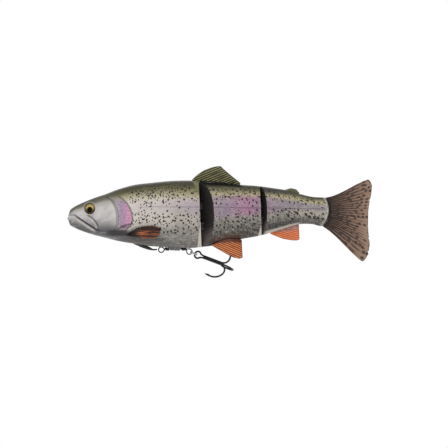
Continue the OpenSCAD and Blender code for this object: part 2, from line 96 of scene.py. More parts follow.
def flank(x, z):
    """Half width of the trunk at a position and height."""
    line = lines_at(x)
    mid = line[..., 1] - WIDEST * (line[..., 1] - line[..., 2])
    reach = np.where(z > mid, line[..., 1] - mid, mid - line[..., 2])
    q = np.minimum(np.abs(z - mid) / reach, 0.98)
    return line[..., 3] * (1 - q ** ROUNDNESS) ** (1 / ROUNDNESS)


def height_share(x, z):
    """0 at the belly, 1 at the back."""
    line = lines_at(x)
    return np.clip((z - line[..., 2]) / (line[..., 1] - line[..., 2]), 0, 1)


def smooth(v, lo, hi):
    """0 below lo, 1 above hi, eased between them."""
    t = np.clip((v - lo) / (hi - lo), 0, 1)
    return t * t * (3 - 2 * t)


def between(v, rise_from, rise_to, fall_from, fall_to):
    return smooth(v, rise_from, rise_to) * (1 - smooth(v, fall_from, fall_to))


def bell(v, width):
    """1 at zero, fading out to both sides."""
    return np.exp(-(v / width) ** 2)


def to_path(x, z, path):
    """Distance of points to an open path, both in side view."""
    best = np.full(np.shape(x), 1e9)
    for (ax, az), (bx, bz) in zip(path[:-1], path[1:]):
        dx, dz = bx - ax, bz - az
        t = np.clip(((x - ax) * dx + (z - az) * dz) / (dx * dx + dz * dz), 0, 1)
        best = np.minimum(best, np.hypot(x - ax - t * dx, z - az - t * dz))
    return best


def line_mark(x, z, path, width, strength):
    """Soft mark along a path, strongest on it."""
    return strength * bell(to_path(x, z, path), width)


def x_on_path(z, path):
    pts = np.array(sorted(path, key=lambda p: p[1]))
    return np.interp(z, pts[:, 1], pts[:, 0])


def z_on_path(x, path):
    pts = np.array(sorted(path))
    return np.interp(x, pts[:, 0], pts[:, 1])


# ---------------- faces at the joints

def flat_face(hinge_x, lean, nose):
    """Flat rear face with the shallow socket for the next section's nose."""
    def x_at(y, z):
        socket = np.sqrt(np.maximum((nose + JOINT_GAP)**2 - np.square(y), 0))
        return hinge_x - (np.maximum(nose - NOSE_OVERLAP, socket) + z * math.sin(lean)) / math.cos(lean)
    return x_at


def bevel_face(hinge_x, lean, nose, bevel):
    """Front face bevelled to both sides of a rounded nose."""
    def x_at(y, z):
        a = np.abs(y)
        round_part = -np.sqrt(np.maximum(nose**2 - a**2, 0))
        straight = -nose * math.cos(bevel) + (a - nose * math.sin(bevel)) * math.tan(bevel)
        local = np.where(a < nose * math.sin(bevel), round_part, straight)
        return hinge_x + (local - z * math.sin(lean)) / math.cos(lean)
    return x_at


STALK_X, STALK_Z, STALK_RADIUS = 198.1, 6.3, 15.8


def stalk_face(y, z):
    """Convex end of the tail stalk, rounded off to the sides."""
    reach = np.sqrt(np.maximum(STALK_RADIUS**2 - (z - STALK_Z)**2, 30.0))
    return STALK_X + reach - 0.16 * y**2


front_face = bevel_face(FRONT_X, FRONT_LEAN, FRONT_NOSE, FRONT_BEVEL)
rear_face = bevel_face(REAR_X, REAR_LEAN, REAR_NOSE, REAR_BEVEL)
front_flat = flat_face(FRONT_X, FRONT_LEAN, FRONT_NOSE)
middle_flat = flat_face(REAR_X, REAR_LEAN, REAR_NOSE)

# ---------------- relief of the head and skin

EYE = (16.6, 7.6)
EYE_RADIUS = 4.4
MOUTH = [(-1.6, 2.0), (4.1, 2.5), (6.0, 0.8), (12.2, -3.2), (18.4, -7.3), (21.8, -9.5)]
MAXILLA = [(9.5, 1.6), (12.2, 2.4), (15.2, 1.9), (17.8, 0.7), (20.2, -1.4), (22.3, -4.2), (23.5, -7.0),
           (23.4, -9.2), (21.8, -9.8)]
JAW_LINE = [(21.8, -9.8), (25.5, -10.6), (29.6, -11.0), (34.0, -10.4), (37.0, -10.2)]
PREOPERCLE = [(30.5, 16.8), (33.9, 14.9), (35.9, 12.0), (38.0, 7.6), (38.9, 2.0), (38.9, -4.6),
              (38.1, -8.2), (36.6, -10.8)]
GILL_EDGE = [(40.6, 17.4), (44.3, 14.9), (47.9, 11.0), (50.3, 6.5), (51.5, 1.6), (51.6, -1.8),
             (50.9, -4.9), (48.4, -7.5), (46.0, -10.6), (43.5, -14.2)]
GILL_FLAP = [(39.5, -9.6), (42.4, -6.9), (46.0, -5.7), (50.6, -5.0)]
CHIN_SHADE = [(6.0, -8.0), (14.0, -10.6), (22.0, -12.6), (30.0, -13.4), (38.0, -13.2), (46.0, -14.4),
              (54.0, -17.4), (66.0, -18.4), (76.0, -17.0)]
LIP_SHADE = [(0.0, -4.8), (6.0, -5.4), (13.0, -8.8), (19.0, -11.2)]
THROAT_LINE = [(46.0, -12.4), (50.0, -10.0), (55.0, -7.6)]
CHEEK_SHADE = [(23.5, -11.0), (28.0, -10.2), (33.0, -9.4), (38.0, -9.0)]
FIN_HEM = [(45.6, -11.2), (49.5, -8.7), (54.0, -6.6), (59.5, -5.2), (66.0, -4.7)]
PELVIC_ROOT = [[116.2, -21.6], [121, -19.5], [126, -17.6], [131, -16.7], [136, -16.9], [140.8, -17.8]]
PELVIC_EDGE = [[116.4, 7.2, -22.6], [121.5, 8.8, -25.6], [127.5, 10.3, -29.0], [133.5, 11.4, -32.1],
               [138.5, 11.8, -33.3], [141.5, 11.4, -32.4]]
LATERAL_LINE = [(52.0, 8.6), (70.0, 9.2), (107.0, 9.0), (160.0, 8.1), (211.0, 7.2)]


def relief(x, z):
    """Outward relief of the front section's flank, in millimetres."""
    over_mouth = z - z_on_path(x, MOUTH)
    h = -line_mark(x, z, MOUTH, 0.42, 0.85)
    h += 0.45 * between(over_mouth, -4.0, -1.6, -1.2, -0.2) * smooth(22.5 - x, 0, 4)
    plate = (z < z_on_path(x, MAXILLA[:6] + [(23.6, -6.5)])) & (over_mouth > 0) & (x > 8) & (x < 23.6)
    h += 0.42 * plate * smooth(to_path(x, z, MAXILLA), 0.2, 1.3) * smooth(to_path(x, z, MOUTH), 0.3, 1.3)
    for path, width, depth in ((MAXILLA, 0.4, 0.32), (JAW_LINE, 0.6, 0.4), (PREOPERCLE, 0.42, 0.45),
                               (GILL_FLAP, 0.4, 0.4), (THROAT_LINE, 0.45, 0.35)):
        h -= line_mark(x, z, path, width, depth)
    swell = bell(x - x_on_path(z, PREOPERCLE) + 1.3, 1.2)
    h += 0.25 * swell * between(z, -10.5, -8, 13, 16)
    inside = x_on_path(z, GILL_EDGE) - x
    cover = between(z, -12.5, -9.5, 14.7, 17.2)
    h += 0.75 * smooth(inside, 0.0, 0.7) * smooth(-inside, -10, -3) * cover
    h -= 0.35 * bell(inside + 0.3, 0.35) * cover
    for k in range(5):
        ray = [(37.0 - 1.5 * k, -12.2 - 0.5 * k), (42.5 - 1.2 * k, -13.0 - 1.05 * k), (45.5, -14.8 - 0.9 * k)]
        h -= line_mark(x, z, ray, 0.35, 0.25)
    eye = np.hypot(x - EYE[0], z - EYE[1])
    h += 0.5 * bell(eye - EYE_RADIUS - 0.55, 0.5)
    h -= 2.2 * smooth(EYE_RADIUS + 0.05 - eye, 0, 0.5)
    for nx, nz in ((7.2, 7.4), (8.9, 7.8)):
        h -= 0.5 * bell(np.hypot(x - nx, (z - nz) * 0.8), 0.42)
    return h


def scale_relief(x, girth):
    """Overlapping scales in staggered rows."""
    pitch = 1.75
    row = np.floor(girth / pitch * 2)
    u = np.mod(x / pitch + 0.5 * np.mod(row, 2), 1.0)
    v = np.mod(girth / pitch * 2, 1.0) - 0.5
    return 0.07 * (1 - u) * (1 - 1.6 * v**2)


# ---------------- mesh helpers

def new_object(name, verts, faces, materials, smooth_faces=True):
    mesh = bpy.data.meshes.new(name)
    mesh.from_pydata((np.asarray(verts) * MM).tolist(), [], faces)
    mesh.update()
    if smooth_faces:
        mesh.polygons.foreach_set("use_smooth", [True] * len(mesh.polygons))
    for m in materials:
        mesh.materials.append(m)
    obj = bpy.data.objects.new(name, mesh)
    bpy.context.scene.collection.objects.link(obj)
    return obj


def attribute(obj, name, values):
    kind = "FLOAT" if np.ndim(values) == 1 else "FLOAT_VECTOR"
    layer = obj.data.attributes.new(name, kind, "POINT")
    layer.data.foreach_set("value" if kind == "FLOAT" else "vector", np.asarray(values, float).ravel())


def grid_faces(rows, cols, wrap, start=0):
    faces = []
    for j in range(rows - 1):
        a = start + j * cols
        for i in range(cols if wrap else cols - 1):
            k = (i + 1) % cols
            faces.append((a + i, a + k, a + cols + k, a + cols + i))
    return faces


def body_of_piece(obj, body, slot, *nodes):
    """Give a piece its body and hide the CAD nodes that it stands for; slot is not used."""
    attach(obj, body)
    if nodes:
        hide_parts(*nodes)
    return obj


def sweep(path, radii, sides):
    """Tube along a path with its section carried along without twist: points, faces."""
    path = np.asarray(path, float)
    n = len(path)
    radii = np.broadcast_to(radii, n)
    tangent = np.gradient(path, axis=0)
    tangent /= np.linalg.norm(tangent, axis=1)[:, None]
    side = np.cross(tangent[0], (0.3, 0.5, 0.8))
    angle = np.linspace(0, 2 * np.pi, sides, endpoint=False)
    points = []
    for p, t, r in zip(path, tangent, radii):
        side = side - side.dot(t) * t
        side /= np.linalg.norm(side)
        points.append(p + r * (np.outer(np.cos(angle), side) + np.outer(np.sin(angle), np.cross(t, side))))
    faces = grid_faces(n, sides, True)
    faces = [f[::-1] for f in faces]
    faces.append(tuple(range(sides)))
    faces.append(tuple((n - 1) * sides + i for i in reversed(range(sides))))
    return np.concatenate(points), faces


def tube_piece(name, path, radii, sides, material, body, slot, *nodes):
    tube = new_object(name, *sweep(path, radii, sides), [material])
    return body_of_piece(tube, body, slot, *nodes)


def cut(obj, cutters):
    """Cut closed solids out of an object and remove them."""
    for c in cutters:
        m = obj.modifiers.new("cut", "BOOLEAN")
        m.operation = "DIFFERENCE"
        m.solver = "MANIFOLD"
        m.object = c
    bpy.context.view_layer.update()
    done = bpy.data.meshes.new_from_object(obj.evaluated_get(bpy.context.evaluated_depsgraph_get()))
    obj.modifiers.clear()
    obj.data = done
    for c in cutters:
        bpy.data.objects.remove(c)


def prism(name, outline, z0, z1, material, frame_at=None):
    """Closed prism over an outline in x, y; frame_at moves it into a leaning hinge's frame."""
    n = len(outline)
    pts = np.array([(x, y, z) for z in (z0, z1) for x, y in outline], float)
    if frame_at:
        hinge_x, lean = frame_at
        c, s = math.cos(lean), math.sin(lean)
        pts = np.stack([hinge_x + c * pts[:, 0] - s * pts[:, 2], pts[:, 1], s * pts[:, 0] + c * pts[:, 2]], 1)
    faces = [tuple(reversed(range(n))), tuple(n + i for i in range(n))]
    faces += [(i, (i + 1) % n, n + (i + 1) % n, n + i) for i in range(n)]
    return new_object(name, pts, faces, [material], False)


def circle(x, y, radius):
    turns = np.linspace(0, 2 * math.pi, 32, endpoint=False)
    return [(x + radius * math.cos(a), y + radius * math.sin(a)) for a in turns]


def box_cutter(x0, x1, y0, y1, z0, z1, material):
    return prism("cutter", [(x0, y0), (x1, y0), (x1, y1), (x0, y1)], z0, z1, material)


# ---------------- materials

def linear(hex_color):
    rgb = [int(hex_color[i:i + 2], 16) / 255 for i in (1, 3, 5)]
    return tuple(c / 12.92 if c <= 0.04045 else ((c + 0.055) / 1.055) ** 2.4 for c in rgb) + (1,)


class Nodes:
    """Short calls for building one material's node tree."""

    def __init__(self, name, rough=0.4, metal=0.0, coat=0.0, spec=0.5, color="#808080"):
        self.mat = bpy.data.materials.new(name)
        self.mat.use_nodes = True
        self.tree = self.mat.node_tree
        self.shader = self.tree.nodes["Principled BSDF"]
        for key, value in (("Roughness", rough), ("Metallic", metal), ("Coat Weight", coat),
                           ("Specular IOR Level", spec), ("Base Color", linear(color))):
            self.shader.inputs[key].default_value = value

    def new(self, kind, sockets, **settings):
        """New node with its settings, and a value or link for each socket given."""
        node = self.tree.nodes.new("ShaderNode" + kind)
        for key, value in settings.items():
            setattr(node, key, value)
        for key, value in sockets:
            self.put(value, node.inputs[key])
        return node

    def put(self, value, socket):
        if isinstance(value, bpy.types.NodeSocket):
            self.tree.links.new(value, socket)
        elif isinstance(value, str):
            socket.default_value = linear(value)
        else:
            socket.default_value = value

    def math(self, operation, *values):
        return self.new("Math", enumerate(values), operation=operation).outputs[0]

    def vector_math(self, operation, *values):
        return self.new("VectorMath", enumerate(values), operation=operation).outputs[0]

    def times(self, product, *factors):
        for factor in factors:
            product = self.math("MULTIPLY", product, factor)
        return product

    def plus(self, a, b):
        return self.math("ADD", a, b)

    def line(self, value, slope, start):
        """slope * value + start"""
        return self.math("MULTIPLY_ADD", value, slope, start)

    def inverse(self, value):
        return self.math("SUBTRACT", 1.0, value)

    def stretch(self, vector, x, y, z=0):
        return self.vector_math("MULTIPLY", vector, (x, y, z))

    def attr(self, name, out="Fac"):
        return self.new("Attribute", (), attribute_name=name).outputs[out]

    def place(self):
        return self.new("TexCoord", ()).outputs["Object"]

    def split(self, vector):
        return self.new("SeparateXYZ", [(0, vector)]).outputs

    def noise(self, vector, scale, detail=3.0, rough=0.5, out="Fac"):
        return self.new("TexNoise", [("Vector", vector), ("Scale", scale), ("Detail", detail),
                                     ("Roughness", rough)]).outputs[out]

    def cells(self, vector, scale, jitter=1.0):
        """Distance to the middle of each cell of a flat pattern, and a random number per cell."""
        node = self.new("TexVoronoi", [("Scale", scale), ("Randomness", jitter)], voronoi_dimensions="2D")
        self.put(vector, node.inputs["Vector"])
        return node.outputs["Distance"], self.split(node.outputs["Color"])[0]

    def step(self, value, lo, hi):
        return self.new("MapRange", [("Value", value), ("From Min", lo), ("From Max", hi)],
                        interpolation_type="SMOOTHSTEP").outputs["Result"]

    def fall(self, value, lo, hi):
        return self.inverse(self.step(value, lo, hi))

    def ramp(self, value, stops):
        node = self.new("ValToRGB", [("Fac", value)])
        elements = node.color_ramp.elements
        while len(elements) < len(stops):
            elements.new(0.5)
        for item, (at, color) in zip(elements, stops):
            item.position = at
            item.color = linear(color) if isinstance(color, str) else (color, color, color, 1)
        return node.outputs["Color"]

    def mix(self, share, a, b):
        return self.new("Mix", [("Factor", share), ("A", a), ("B", b)], data_type="RGBA").outputs["Result"]

    def paint(self, under, over, *shares):
        """One colour over another, covering by the product of the shares."""
        return self.mix(self.times(*shares), under, over)

    def bump(self, height, strength, distance):
        node = self.new("Bump", [("Height", height), ("Strength", strength), ("Distance", distance)])
        self.tree.links.new(node.outputs[0], self.shader.inputs["Normal"])

    def done(self, color, rough=None):
        self.put(color, self.shader.inputs["Base Color"])
        if rough is not None:
            self.put(rough, self.shader.inputs["Roughness"])
        return self.mat


NET_PITCH = 1.6
SKIN_SPECULAR, SKIN_COAT = 0.16, 0.06

# colours of the skin from belly to back, the belly darkened with painted shade: before the first joint,
# behind it, and on the tail stalk
TRUNK_HEIGHTS = (0.00, 0.08, 0.17, 0.27, 0.36, 0.45, 0.53, 0.60, 0.67, 0.74, 0.81, 0.88, 0.94, 1.00)
TRUNK = ("#6d6c6c #757371 #827f7a #8d8983 #a7a19a #b4aea2 #b1aba0 "
         "#b1a9a8 #bfb3b1 #bab09b #918969 #5c583a #393723 #2a281b").split()
HIND = ("#2f2d2d #2c2a29 #4b4945 #6a6761 #837e78 #908a80 #938e84 "
        "#969090 #a89c9b #a79f8a #a99f7e #756f54 #3b3925 #2d2b1d").split()
STALK = ("#585757 #4e4d4b #5d5b57 #827e76 #a29b92 #a59f93 #9c968b "
         "#8c8586 #988f8e #a69e89 #a9a17c #79745a #4a4834 #33311f").split()
# head colours from belly to back, with painted shade under the jaw
HEAD_HEIGHTS = (0.00, 0.12, 0.24, 0.38, 0.52, 0.66, 0.78, 0.87, 0.94, 1.00)
HEAD = "#828284 #767678 #7c7b7d #9e9b9c #b7b4b3 #bcb9b6 #a7a49e #6b695c #4b493b #424131".split()


def netting(n, lay):
    """Fine diamond net, bright on the threads."""
    x, girth, _ = n.split(lay)
    threads = []
    for sign in ("ADD", "SUBTRACT"):
        across = n.math("FRACT", n.times(n.math(sign, x, girth), 1 / NET_PITCH))
        threads.append(n.math("ABSOLUTE", n.math("SUBTRACT", across, 0.5)))
    return n.step(n.math("MAXIMUM", *threads), 0.33, 0.47)


def flank_color(n, h, wavy, lay, along):
    """Grey and olive ground of the head, trunk and stalk, from belly to back, with painted shade darkening
    the belly.
    """
    trunk, hind, stalk = (n.ramp(wavy, list(zip(TRUNK_HEIGHTS, colors))) for colors in (TRUNK, HIND, STALK))
    behind_gill = n.fall(along, 72, 92)
    pale_height = n.ramp(h, [(0.22, 0.0), (0.34, 0.45), (0.48, 0.6), (0.7, 0.5), (0.8, 0.15), (0.9, 0.0)])
    trunk = n.paint(trunk, "#ded6cd", behind_gill, pale_height)
    # painted shade: the lowest belly darkened, most on the forward trunk
    trunk = n.paint(trunk, "#3b3735", n.fall(h, 0.02, 0.16), n.line(behind_gill, 0.25, 0.3))
    trunk = n.mix(n.step(along, 102, 113), trunk, n.mix(n.step(along, 176, 190), hind, stalk))
    head = n.ramp(wavy, list(zip(HEAD_HEIGHTS, HEAD)))
    # painted sheen: pale and dark patches over the cheek, kept below the top of the head
    sheen = n.noise(n.stretch(lay, 0.14, 0.2, 1), 1.0)
    cheek = n.fall(h, 0.70, 0.84)
    head = n.paint(head, "#cfc8cf", n.step(sheen, 0.5, 0.68), cheek, 0.4)
    head = n.paint(head, "#847e76", n.step(n.inverse(sheen), 0.5, 0.68), cheek, 0.35)
    return n.mix(n.step(along, 30, 46), head, trunk)


def rosy_band(n, color, wavy, lay, along):
    """Rosy band along the flank, widest and strongest on the middle section."""
    wide = n.times(n.step(along, 106, 116), n.fall(along, 158, 196))
    top_edge = n.step(n.line(wide, -0.065, wavy), 0.69, 0.77)
    low_edge = n.step(n.line(wide, 0.03, wavy), 0.40, 0.52)
    share_along = n.math("DIVIDE", along, 220.0)
    strength = n.ramp(share_along, [
        (0.20, 0.0), (0.27, 0.18), (0.40, 0.42), (0.46, 0.56), (0.55, 0.72), (0.64, 0.95), (0.70, 0.98),
        (0.76, 0.74), (0.88, 0.48), (0.97, 0.15)])
    patchy = n.step(n.noise(n.stretch(lay, 0.16, 0.5, 1), 1.0, 4.0, 0.6), 0.28, 0.72)
    rosy = n.ramp(share_along, [
        (0.40, "#b3a3b0"), (0.50, "#93799a"), (0.58, "#8a6f90"), (0.655, "#a2678e"), (0.70, "#8d6088"),
        (0.78, "#78627f"), (0.95, "#7f7890")])
    return n.paint(color, rosy, low_edge, n.inverse(top_edge), strength,
                   n.line(patchy, 0.45, 0.55))


def gill_cover(n, h, lay, along):
    """Gill cover, mauve in front and pink behind."""
    color = n.ramp(n.math("SUBTRACT", n.math("DIVIDE", along, 14.0), 2.7), [
        (0.05, "#b3a8ac"), (0.30, "#9a8b9e"), (0.60, "#b58ba8"), (0.92, "#d893b4")])
    streaks = n.noise(n.stretch(lay, 0.5, 1.3, 1), 1.0, 4.0, 0.6)
    color = n.paint(color, "#735f78", n.step(streaks, 0.45, 0.62), 0.5)
    color = n.paint(color, "#e0b9cc", n.step(n.inverse(streaks), 0.5, 0.66), 0.35)
    return n.paint(color, "#77756c", n.step(h, 0.66, 0.86), 0.8)


def black_spots(n, h, lay, along):
    """Spots above and below the band, small ones behind the gill and blotches on the stalk."""
    everywhere = n.ramp(h, [(0.16, 0.0), (0.24, 0.5), (0.42, 0.62), (0.50, 0.28), (0.60, 0.08), (0.70, 0.34),
                            (0.77, 0.72), (0.88, 0.7), (0.94, 0.15), (1.0, 0.05)])
    peppered = n.times(n.fall(along, 70, 96), n.ramp(h, [
        (0.26, 0.0), (0.34, 0.5), (0.50, 0.42), (0.56, 0.12), (0.68, 0.12), (0.76, 0.4), (0.84, 0.2)]))
    blotched = n.times(n.step(along, 174, 184), n.ramp(h, [
        (0.16, 0.0), (0.24, 0.75), (0.42, 0.75), (0.5, 0.0)]))
    jag = n.noise(lay, 1.1, 2.0, out="Color")
    layers = []
    for scale, size, offset, share in ((0.30, 0.30, 0.0, everywhere), (0.44, 0.28, 7.3, everywhere),
                                       (0.40, 0.25, 3.1, peppered), (0.24, 0.36, 5.2, blotched)):
        moved = n.vector_math("ADD", lay, (offset, offset * 2, 0))
        jagged = n.vector_math("MULTIPLY_ADD", jag, (0.6, 0.6, 0), moved)
        distance, pick = n.cells(n.stretch(jagged, 1.0, 0.92), scale)
        layers.append(n.times(n.fall(distance, size * 0.62, size), n.math("LESS_THAN", pick, share)))
    spots = layers[0]
    for layer in layers[1:]:
        spots = n.math("MAXIMUM", spots, layer)
    return n.times(spots, n.step(along, 45, 51))


def skin_material():
    n = Nodes("trout_skin", rough=0.42, coat=SKIN_COAT, spec=SKIN_SPECULAR)
    n.shader.inputs["Coat Roughness"].default_value = 0.22
    h = n.attr("height")
    lay = n.attr("lay", "Vector")
    along = n.split(lay)[0]
    wobble = n.times(n.math("SUBTRACT", n.noise(n.stretch(lay, 0.09, 0.3, 1), 1.0), 0.5), 0.09)
    wavy = n.plus(h, wobble)
    color = rosy_band(n, flank_color(n, h, wavy, lay, along), wavy, lay, along)
    gill = n.attr("gill")
    color = n.mix(gill, color, gill_cover(n, h, lay, along))
    # fibre netting, clouding and pale flecks under the skin
    net = netting(n, lay)
    shown = n.times(n.step(along, 44, 60), n.ramp(h, [
        (0.0, 0.5), (0.12, 0.9), (0.35, 0.8), (0.75, 0.6), (0.88, 0.25), (0.98, 0.08)]))
    cloud = n.noise(n.stretch(lay, 0.22, 0.4, 1), 1.0, 4.0, 0.6)
    color = n.paint(color, "#cfc6b8", n.step(cloud, 0.5, 0.7), shown, 0.4)
    color = n.paint(color, "#68645c", n.step(n.inverse(cloud), 0.5, 0.7), shown, 0.3)
    color = n.paint(color, "#3a3731", net, shown, 0.5)
    distance, pick = n.cells(lay, 0.9)
    color = n.paint(color, "#ebe5d8", n.fall(distance, 0.16, 0.34), n.step(pick, 0.45, 0.6), shown, 0.42)
    color = n.paint(color, "#1b1913", black_spots(n, h, lay, along), n.inverse(gill), 0.93)
    # painted creases with painted shade under the jaw and throat, pale hems with painted highlights on the
    # lip and maxilla, black root lines and black painted shadow under the dorsal fin and round the tail's
    # root
    for mask, over in (("warm", "#563b30"), ("olive", "#6b6a4c"), ("dark", "#343134"), ("pale", "#bdb6ad"),
                       ("black", "#151414")):
        color = n.mix(n.attr(mask), color, over)
    n.bump(n.plus(n.times(net, shown, 0.5), n.times(n.noise(lay, 3.0), 0.5)), 0.25, 0.0002)
    matt = n.inverse(n.attr("black"))
    n.put(n.times(matt, SKIN_SPECULAR), n.shader.inputs["Specular IOR Level"])
    n.put(n.times(matt, SKIN_COAT), n.shader.inputs["Coat Weight"])
    return n.done(color, n.line(n.noise(lay, 0.8), 0.18, 0.27))


def bevel_material():
    """Dark netted faces at the joints, greyer towards the belly."""
    n = Nodes("bevel_netting", rough=0.55, spec=0.2)
    lay = n.attr("lay", "Vector")
    net = netting(n, lay)
    soft = n.noise(lay, 0.35)
    color = n.ramp(soft, [(0.3, "#0d0c0c"), (0.7, "#262324")])
    wavy = n.plus(n.attr("height"), n.times(n.math("SUBTRACT", soft, 0.5), 0.25))
    color = n.paint(color, "#75696a", n.fall(wavy, 0.1, 0.36), 0.75)
    color = n.paint(color, "#48423f", net, 0.55)
    n.bump(net, 0.5, 0.0003)
    return n.done(color)


def cut_material():
    n = Nodes("cut_vinyl", rough=0.5)
    lay = n.attr("lay", "Vector")
    color = n.ramp(n.noise(lay, 0.25), [(0.3, "#2b2826"), (0.7, "#4a4643")])
    n.bump(n.noise(lay, 2.0), 0.2, 0.0002)
    return n.done(color)


def fin_material(name, root_to_edge, ray_color, ray_share, line_color, spots=None, shade=None,
                 streaky=None, dashes=None):
    """Fin: colour from root to edge, light rays with dark lines between them, a darker rim."""
    rough = 0.4
    n = Nodes(name, rough=rough, coat=0.06, spec=0.25)
    rays = n.attr("rays", "Vector")
    u, v, rim = n.split(n.attr("fin", "Vector"))
    streak = n.noise(n.stretch(rays, 1.4, 1.0), 1.0, 4.0, 0.7)
    broad = n.noise(n.stretch(rays, 0.2, 0.8), 1.0, 2.0)
    color = n.ramp(n.plus(v, n.times(n.math("SUBTRACT", broad, 0.5), 0.35)), root_to_edge)
    ray = n.attr("ray")
    lit = n.times(n.step(ray, 0.35, 0.9), n.step(streak, 0.3, 0.55))
    if streaky:
        long_streak = n.noise(n.stretch(rays, *streaky), 1.0, 2.0)
        lit = n.times(n.step(long_streak, 0.48, 0.6), n.step(v, 0.25, 0.5))
    color = n.paint(color, ray_color, lit, ray_share)
    gap = n.times(n.fall(ray, 0.02, 0.25), n.step(streak, 0.36, 0.52))
    if dashes:
        broken = n.noise(n.stretch(rays, *dashes), 1.0, 2.0, 0.6)
        fade = n.inverse(n.times(n.step(v, 0.5, 1.0), 0.55))
        gap = n.times(n.fall(ray, 0.1, 0.55), n.step(broken, 0.38, 0.52), fade)
    color = n.paint(color, line_color, gap, 0.8)
    if spots:
        spread, share, spot_color = spots
        distance, pick = n.cells(n.stretch(rays, *spread), 1.0, 0.8)
        dot = n.times(n.fall(distance, 0.24, 0.46), n.math("LESS_THAN", pick, share))
        color = n.paint(color, spot_color, dot, n.step(v, 0.10, 0.25), 0.88)
    if shade:
        lo, hi, shade_color = shade
        color = n.paint(color, shade_color, n.step(u, lo, hi), 0.85)
    color = n.paint(color, line_color, n.fall(rim, 0.1, 0.9), 0.75)
    n.bump(n.plus(n.times(streak, 0.6), ray), 0.4, 0.0004)
    return n.done(color, n.line(streak, 0.2, rough - 0.1))


def metal_material(name, color, rough, scratch):
    n = Nodes(name, rough=rough, metal=1.0, color=color)
    where = n.place()
    fine = n.noise(n.stretch(where, 900, 900, 2600), 1.0)
    color = n.paint(color, scratch, n.step(n.noise(where, 160.0, 2.0), 0.4, 0.75), 0.25)
    n.bump(fine, 0.08, 0.0001)
    return n.done(color, n.line(fine, 0.2, rough - 0.08))


def plastic_material(name, color, other, rough, grain=420.0, strength=0.15):
    n = Nodes(name, rough=rough)
    where = n.place()
    fine = n.noise(where, grain, 4.0)
    color = n.mix(n.step(n.noise(where, grain / 5, 2.0), 0.35, 0.7), color, other)
    n.bump(fine, strength, 0.0002)
    return n.done(color, n.line(fine, 0.2, rough - 0.1))


def eye_material():
    """Gold iris with a black pupil, a pale ring painted as a glint at its top, a darker rim and painted shade
    low on the eye.
    """
    n = Nodes("trout_eye", rough=0.08, spec=0.09)
    place = n.attr("iris", "Vector")
    x, z, _ = n.split(place)

    def length(a, b):
        return n.math("SQRT", n.plus(n.math("POWER", a, 2.0), n.math("POWER", b, 2.0)))
    pupil = length(n.times(n.plus(x, 0.06), 1.05), n.plus(z, 0.19))
    streak = n.noise(n.stretch(place, 2.2, 2.2, 1), 4.0, 5.0, 0.7)
    color = n.ramp(n.plus(n.times(z, 0.5), n.times(streak, 0.9)), [
        (0.05, "#2c2212"), (0.35, "#6b582e"), (0.6, "#ab9454"), (0.85, "#958350")])
    # painted glint: a pale ring round the top of the pupil
    pupil_top_glint = n.times(n.step(pupil, 0.52, 0.56), n.fall(pupil, 0.58, 0.64))
    color = n.paint(color, "#d9c689", pupil_top_glint, n.step(z, -0.25, 0.35))
    color = n.paint(color, "#3a2d1a", n.step(length(x, z), 0.8, 0.97), 0.85)
    # painted shade over the lower part of the eye
    color = n.paint(color, "#35301f", n.fall(z, -0.75, -0.2), 0.6)
    return n.done(n.paint(color, "#030303", n.fall(pupil, 0.50, 0.55)))


skin = skin_material()
bevel = bevel_material()
cut_vinyl = cut_material()
orange_fin = fin_material(
    "orange_fin", [(0.0, "#4e372c"), (0.2, "#763820"), (0.5, "#984114"), (0.95, "#833c1a")],
    "#f2a268", 0.9, "#4d1f0e")
pale_root_fin = fin_material(
    "pale_root_fin", [(0.10, "#8f8a86"), (0.28, "#b3a49e"), (0.42, "#c4603a"), (0.95, "#cc5f2c")],
    "#f2ab7c", 0.7, "#8a3a1a")
pectoral_skin = fin_material(
    "pectoral_fin", [(0.10, "#1b1512"), (0.35, "#2c1d18"), (0.7, "#42291f"), (1.0, "#54372b")],
    "#c97349", 1.0, "#17110f", shade=(0.5, 0.74, "#1f1814"), streaky=(1.6, 0.4))
dorsal_skin = fin_material(
    "dorsal_fin", [(0.0, "#1b1a0f"), (0.2, "#33311b"), (0.6, "#33321d"), (1.0, "#3b3a2a")],
    "#a19c6c", 0.85, "#1b1a0b")
tail_skin = fin_material(
    "tail_fin", [(0.08, "#1a1413"), (0.25, "#31241f"), (0.45, "#5c4438"), (0.65, "#735a4c"),
                 (0.85, "#816858"), (1.0, "#8d7464")],
    "#9d8270", 0.45, "#261b17", spots=((1.0, 2.6), 0.5, "#33241f"), dashes=(1.0, 2.2))
adipose_skin = plastic_material("adipose_fin", "#5d5c38", "#47462a", 0.4, 300.0)
eye_skin = eye_material()
black_nickel = metal_material("black_nickel", "#2b2a2c", 0.26, "#141314")
rig_black = metal_material("rig_wire_finish", "#39383a", 0.28, "#1a191a")
bright_steel = metal_material("stainless", "#b9babb", 0.22, "#8d8e90")
dull_steel = metal_material("turned_steel", "#7d7f82", 0.35, "#55575a")
black_nylon = plastic_material("black_nylon", "#121212", "#1f1f20", 0.5)
tube_black = plastic_material("tube_black", "#0c0c0d", "#191919", 0.4)
sleeve_black = plastic_material("sleeve_rubber", "#141414", "#262524", 0.6, 700.0, 0.3)

# ---------------- the three body sections

GIRTH_STEPS = 260
RIM = 0.4
MASKS = ("gill", "dark", "pale", "black", "olive", "warm")


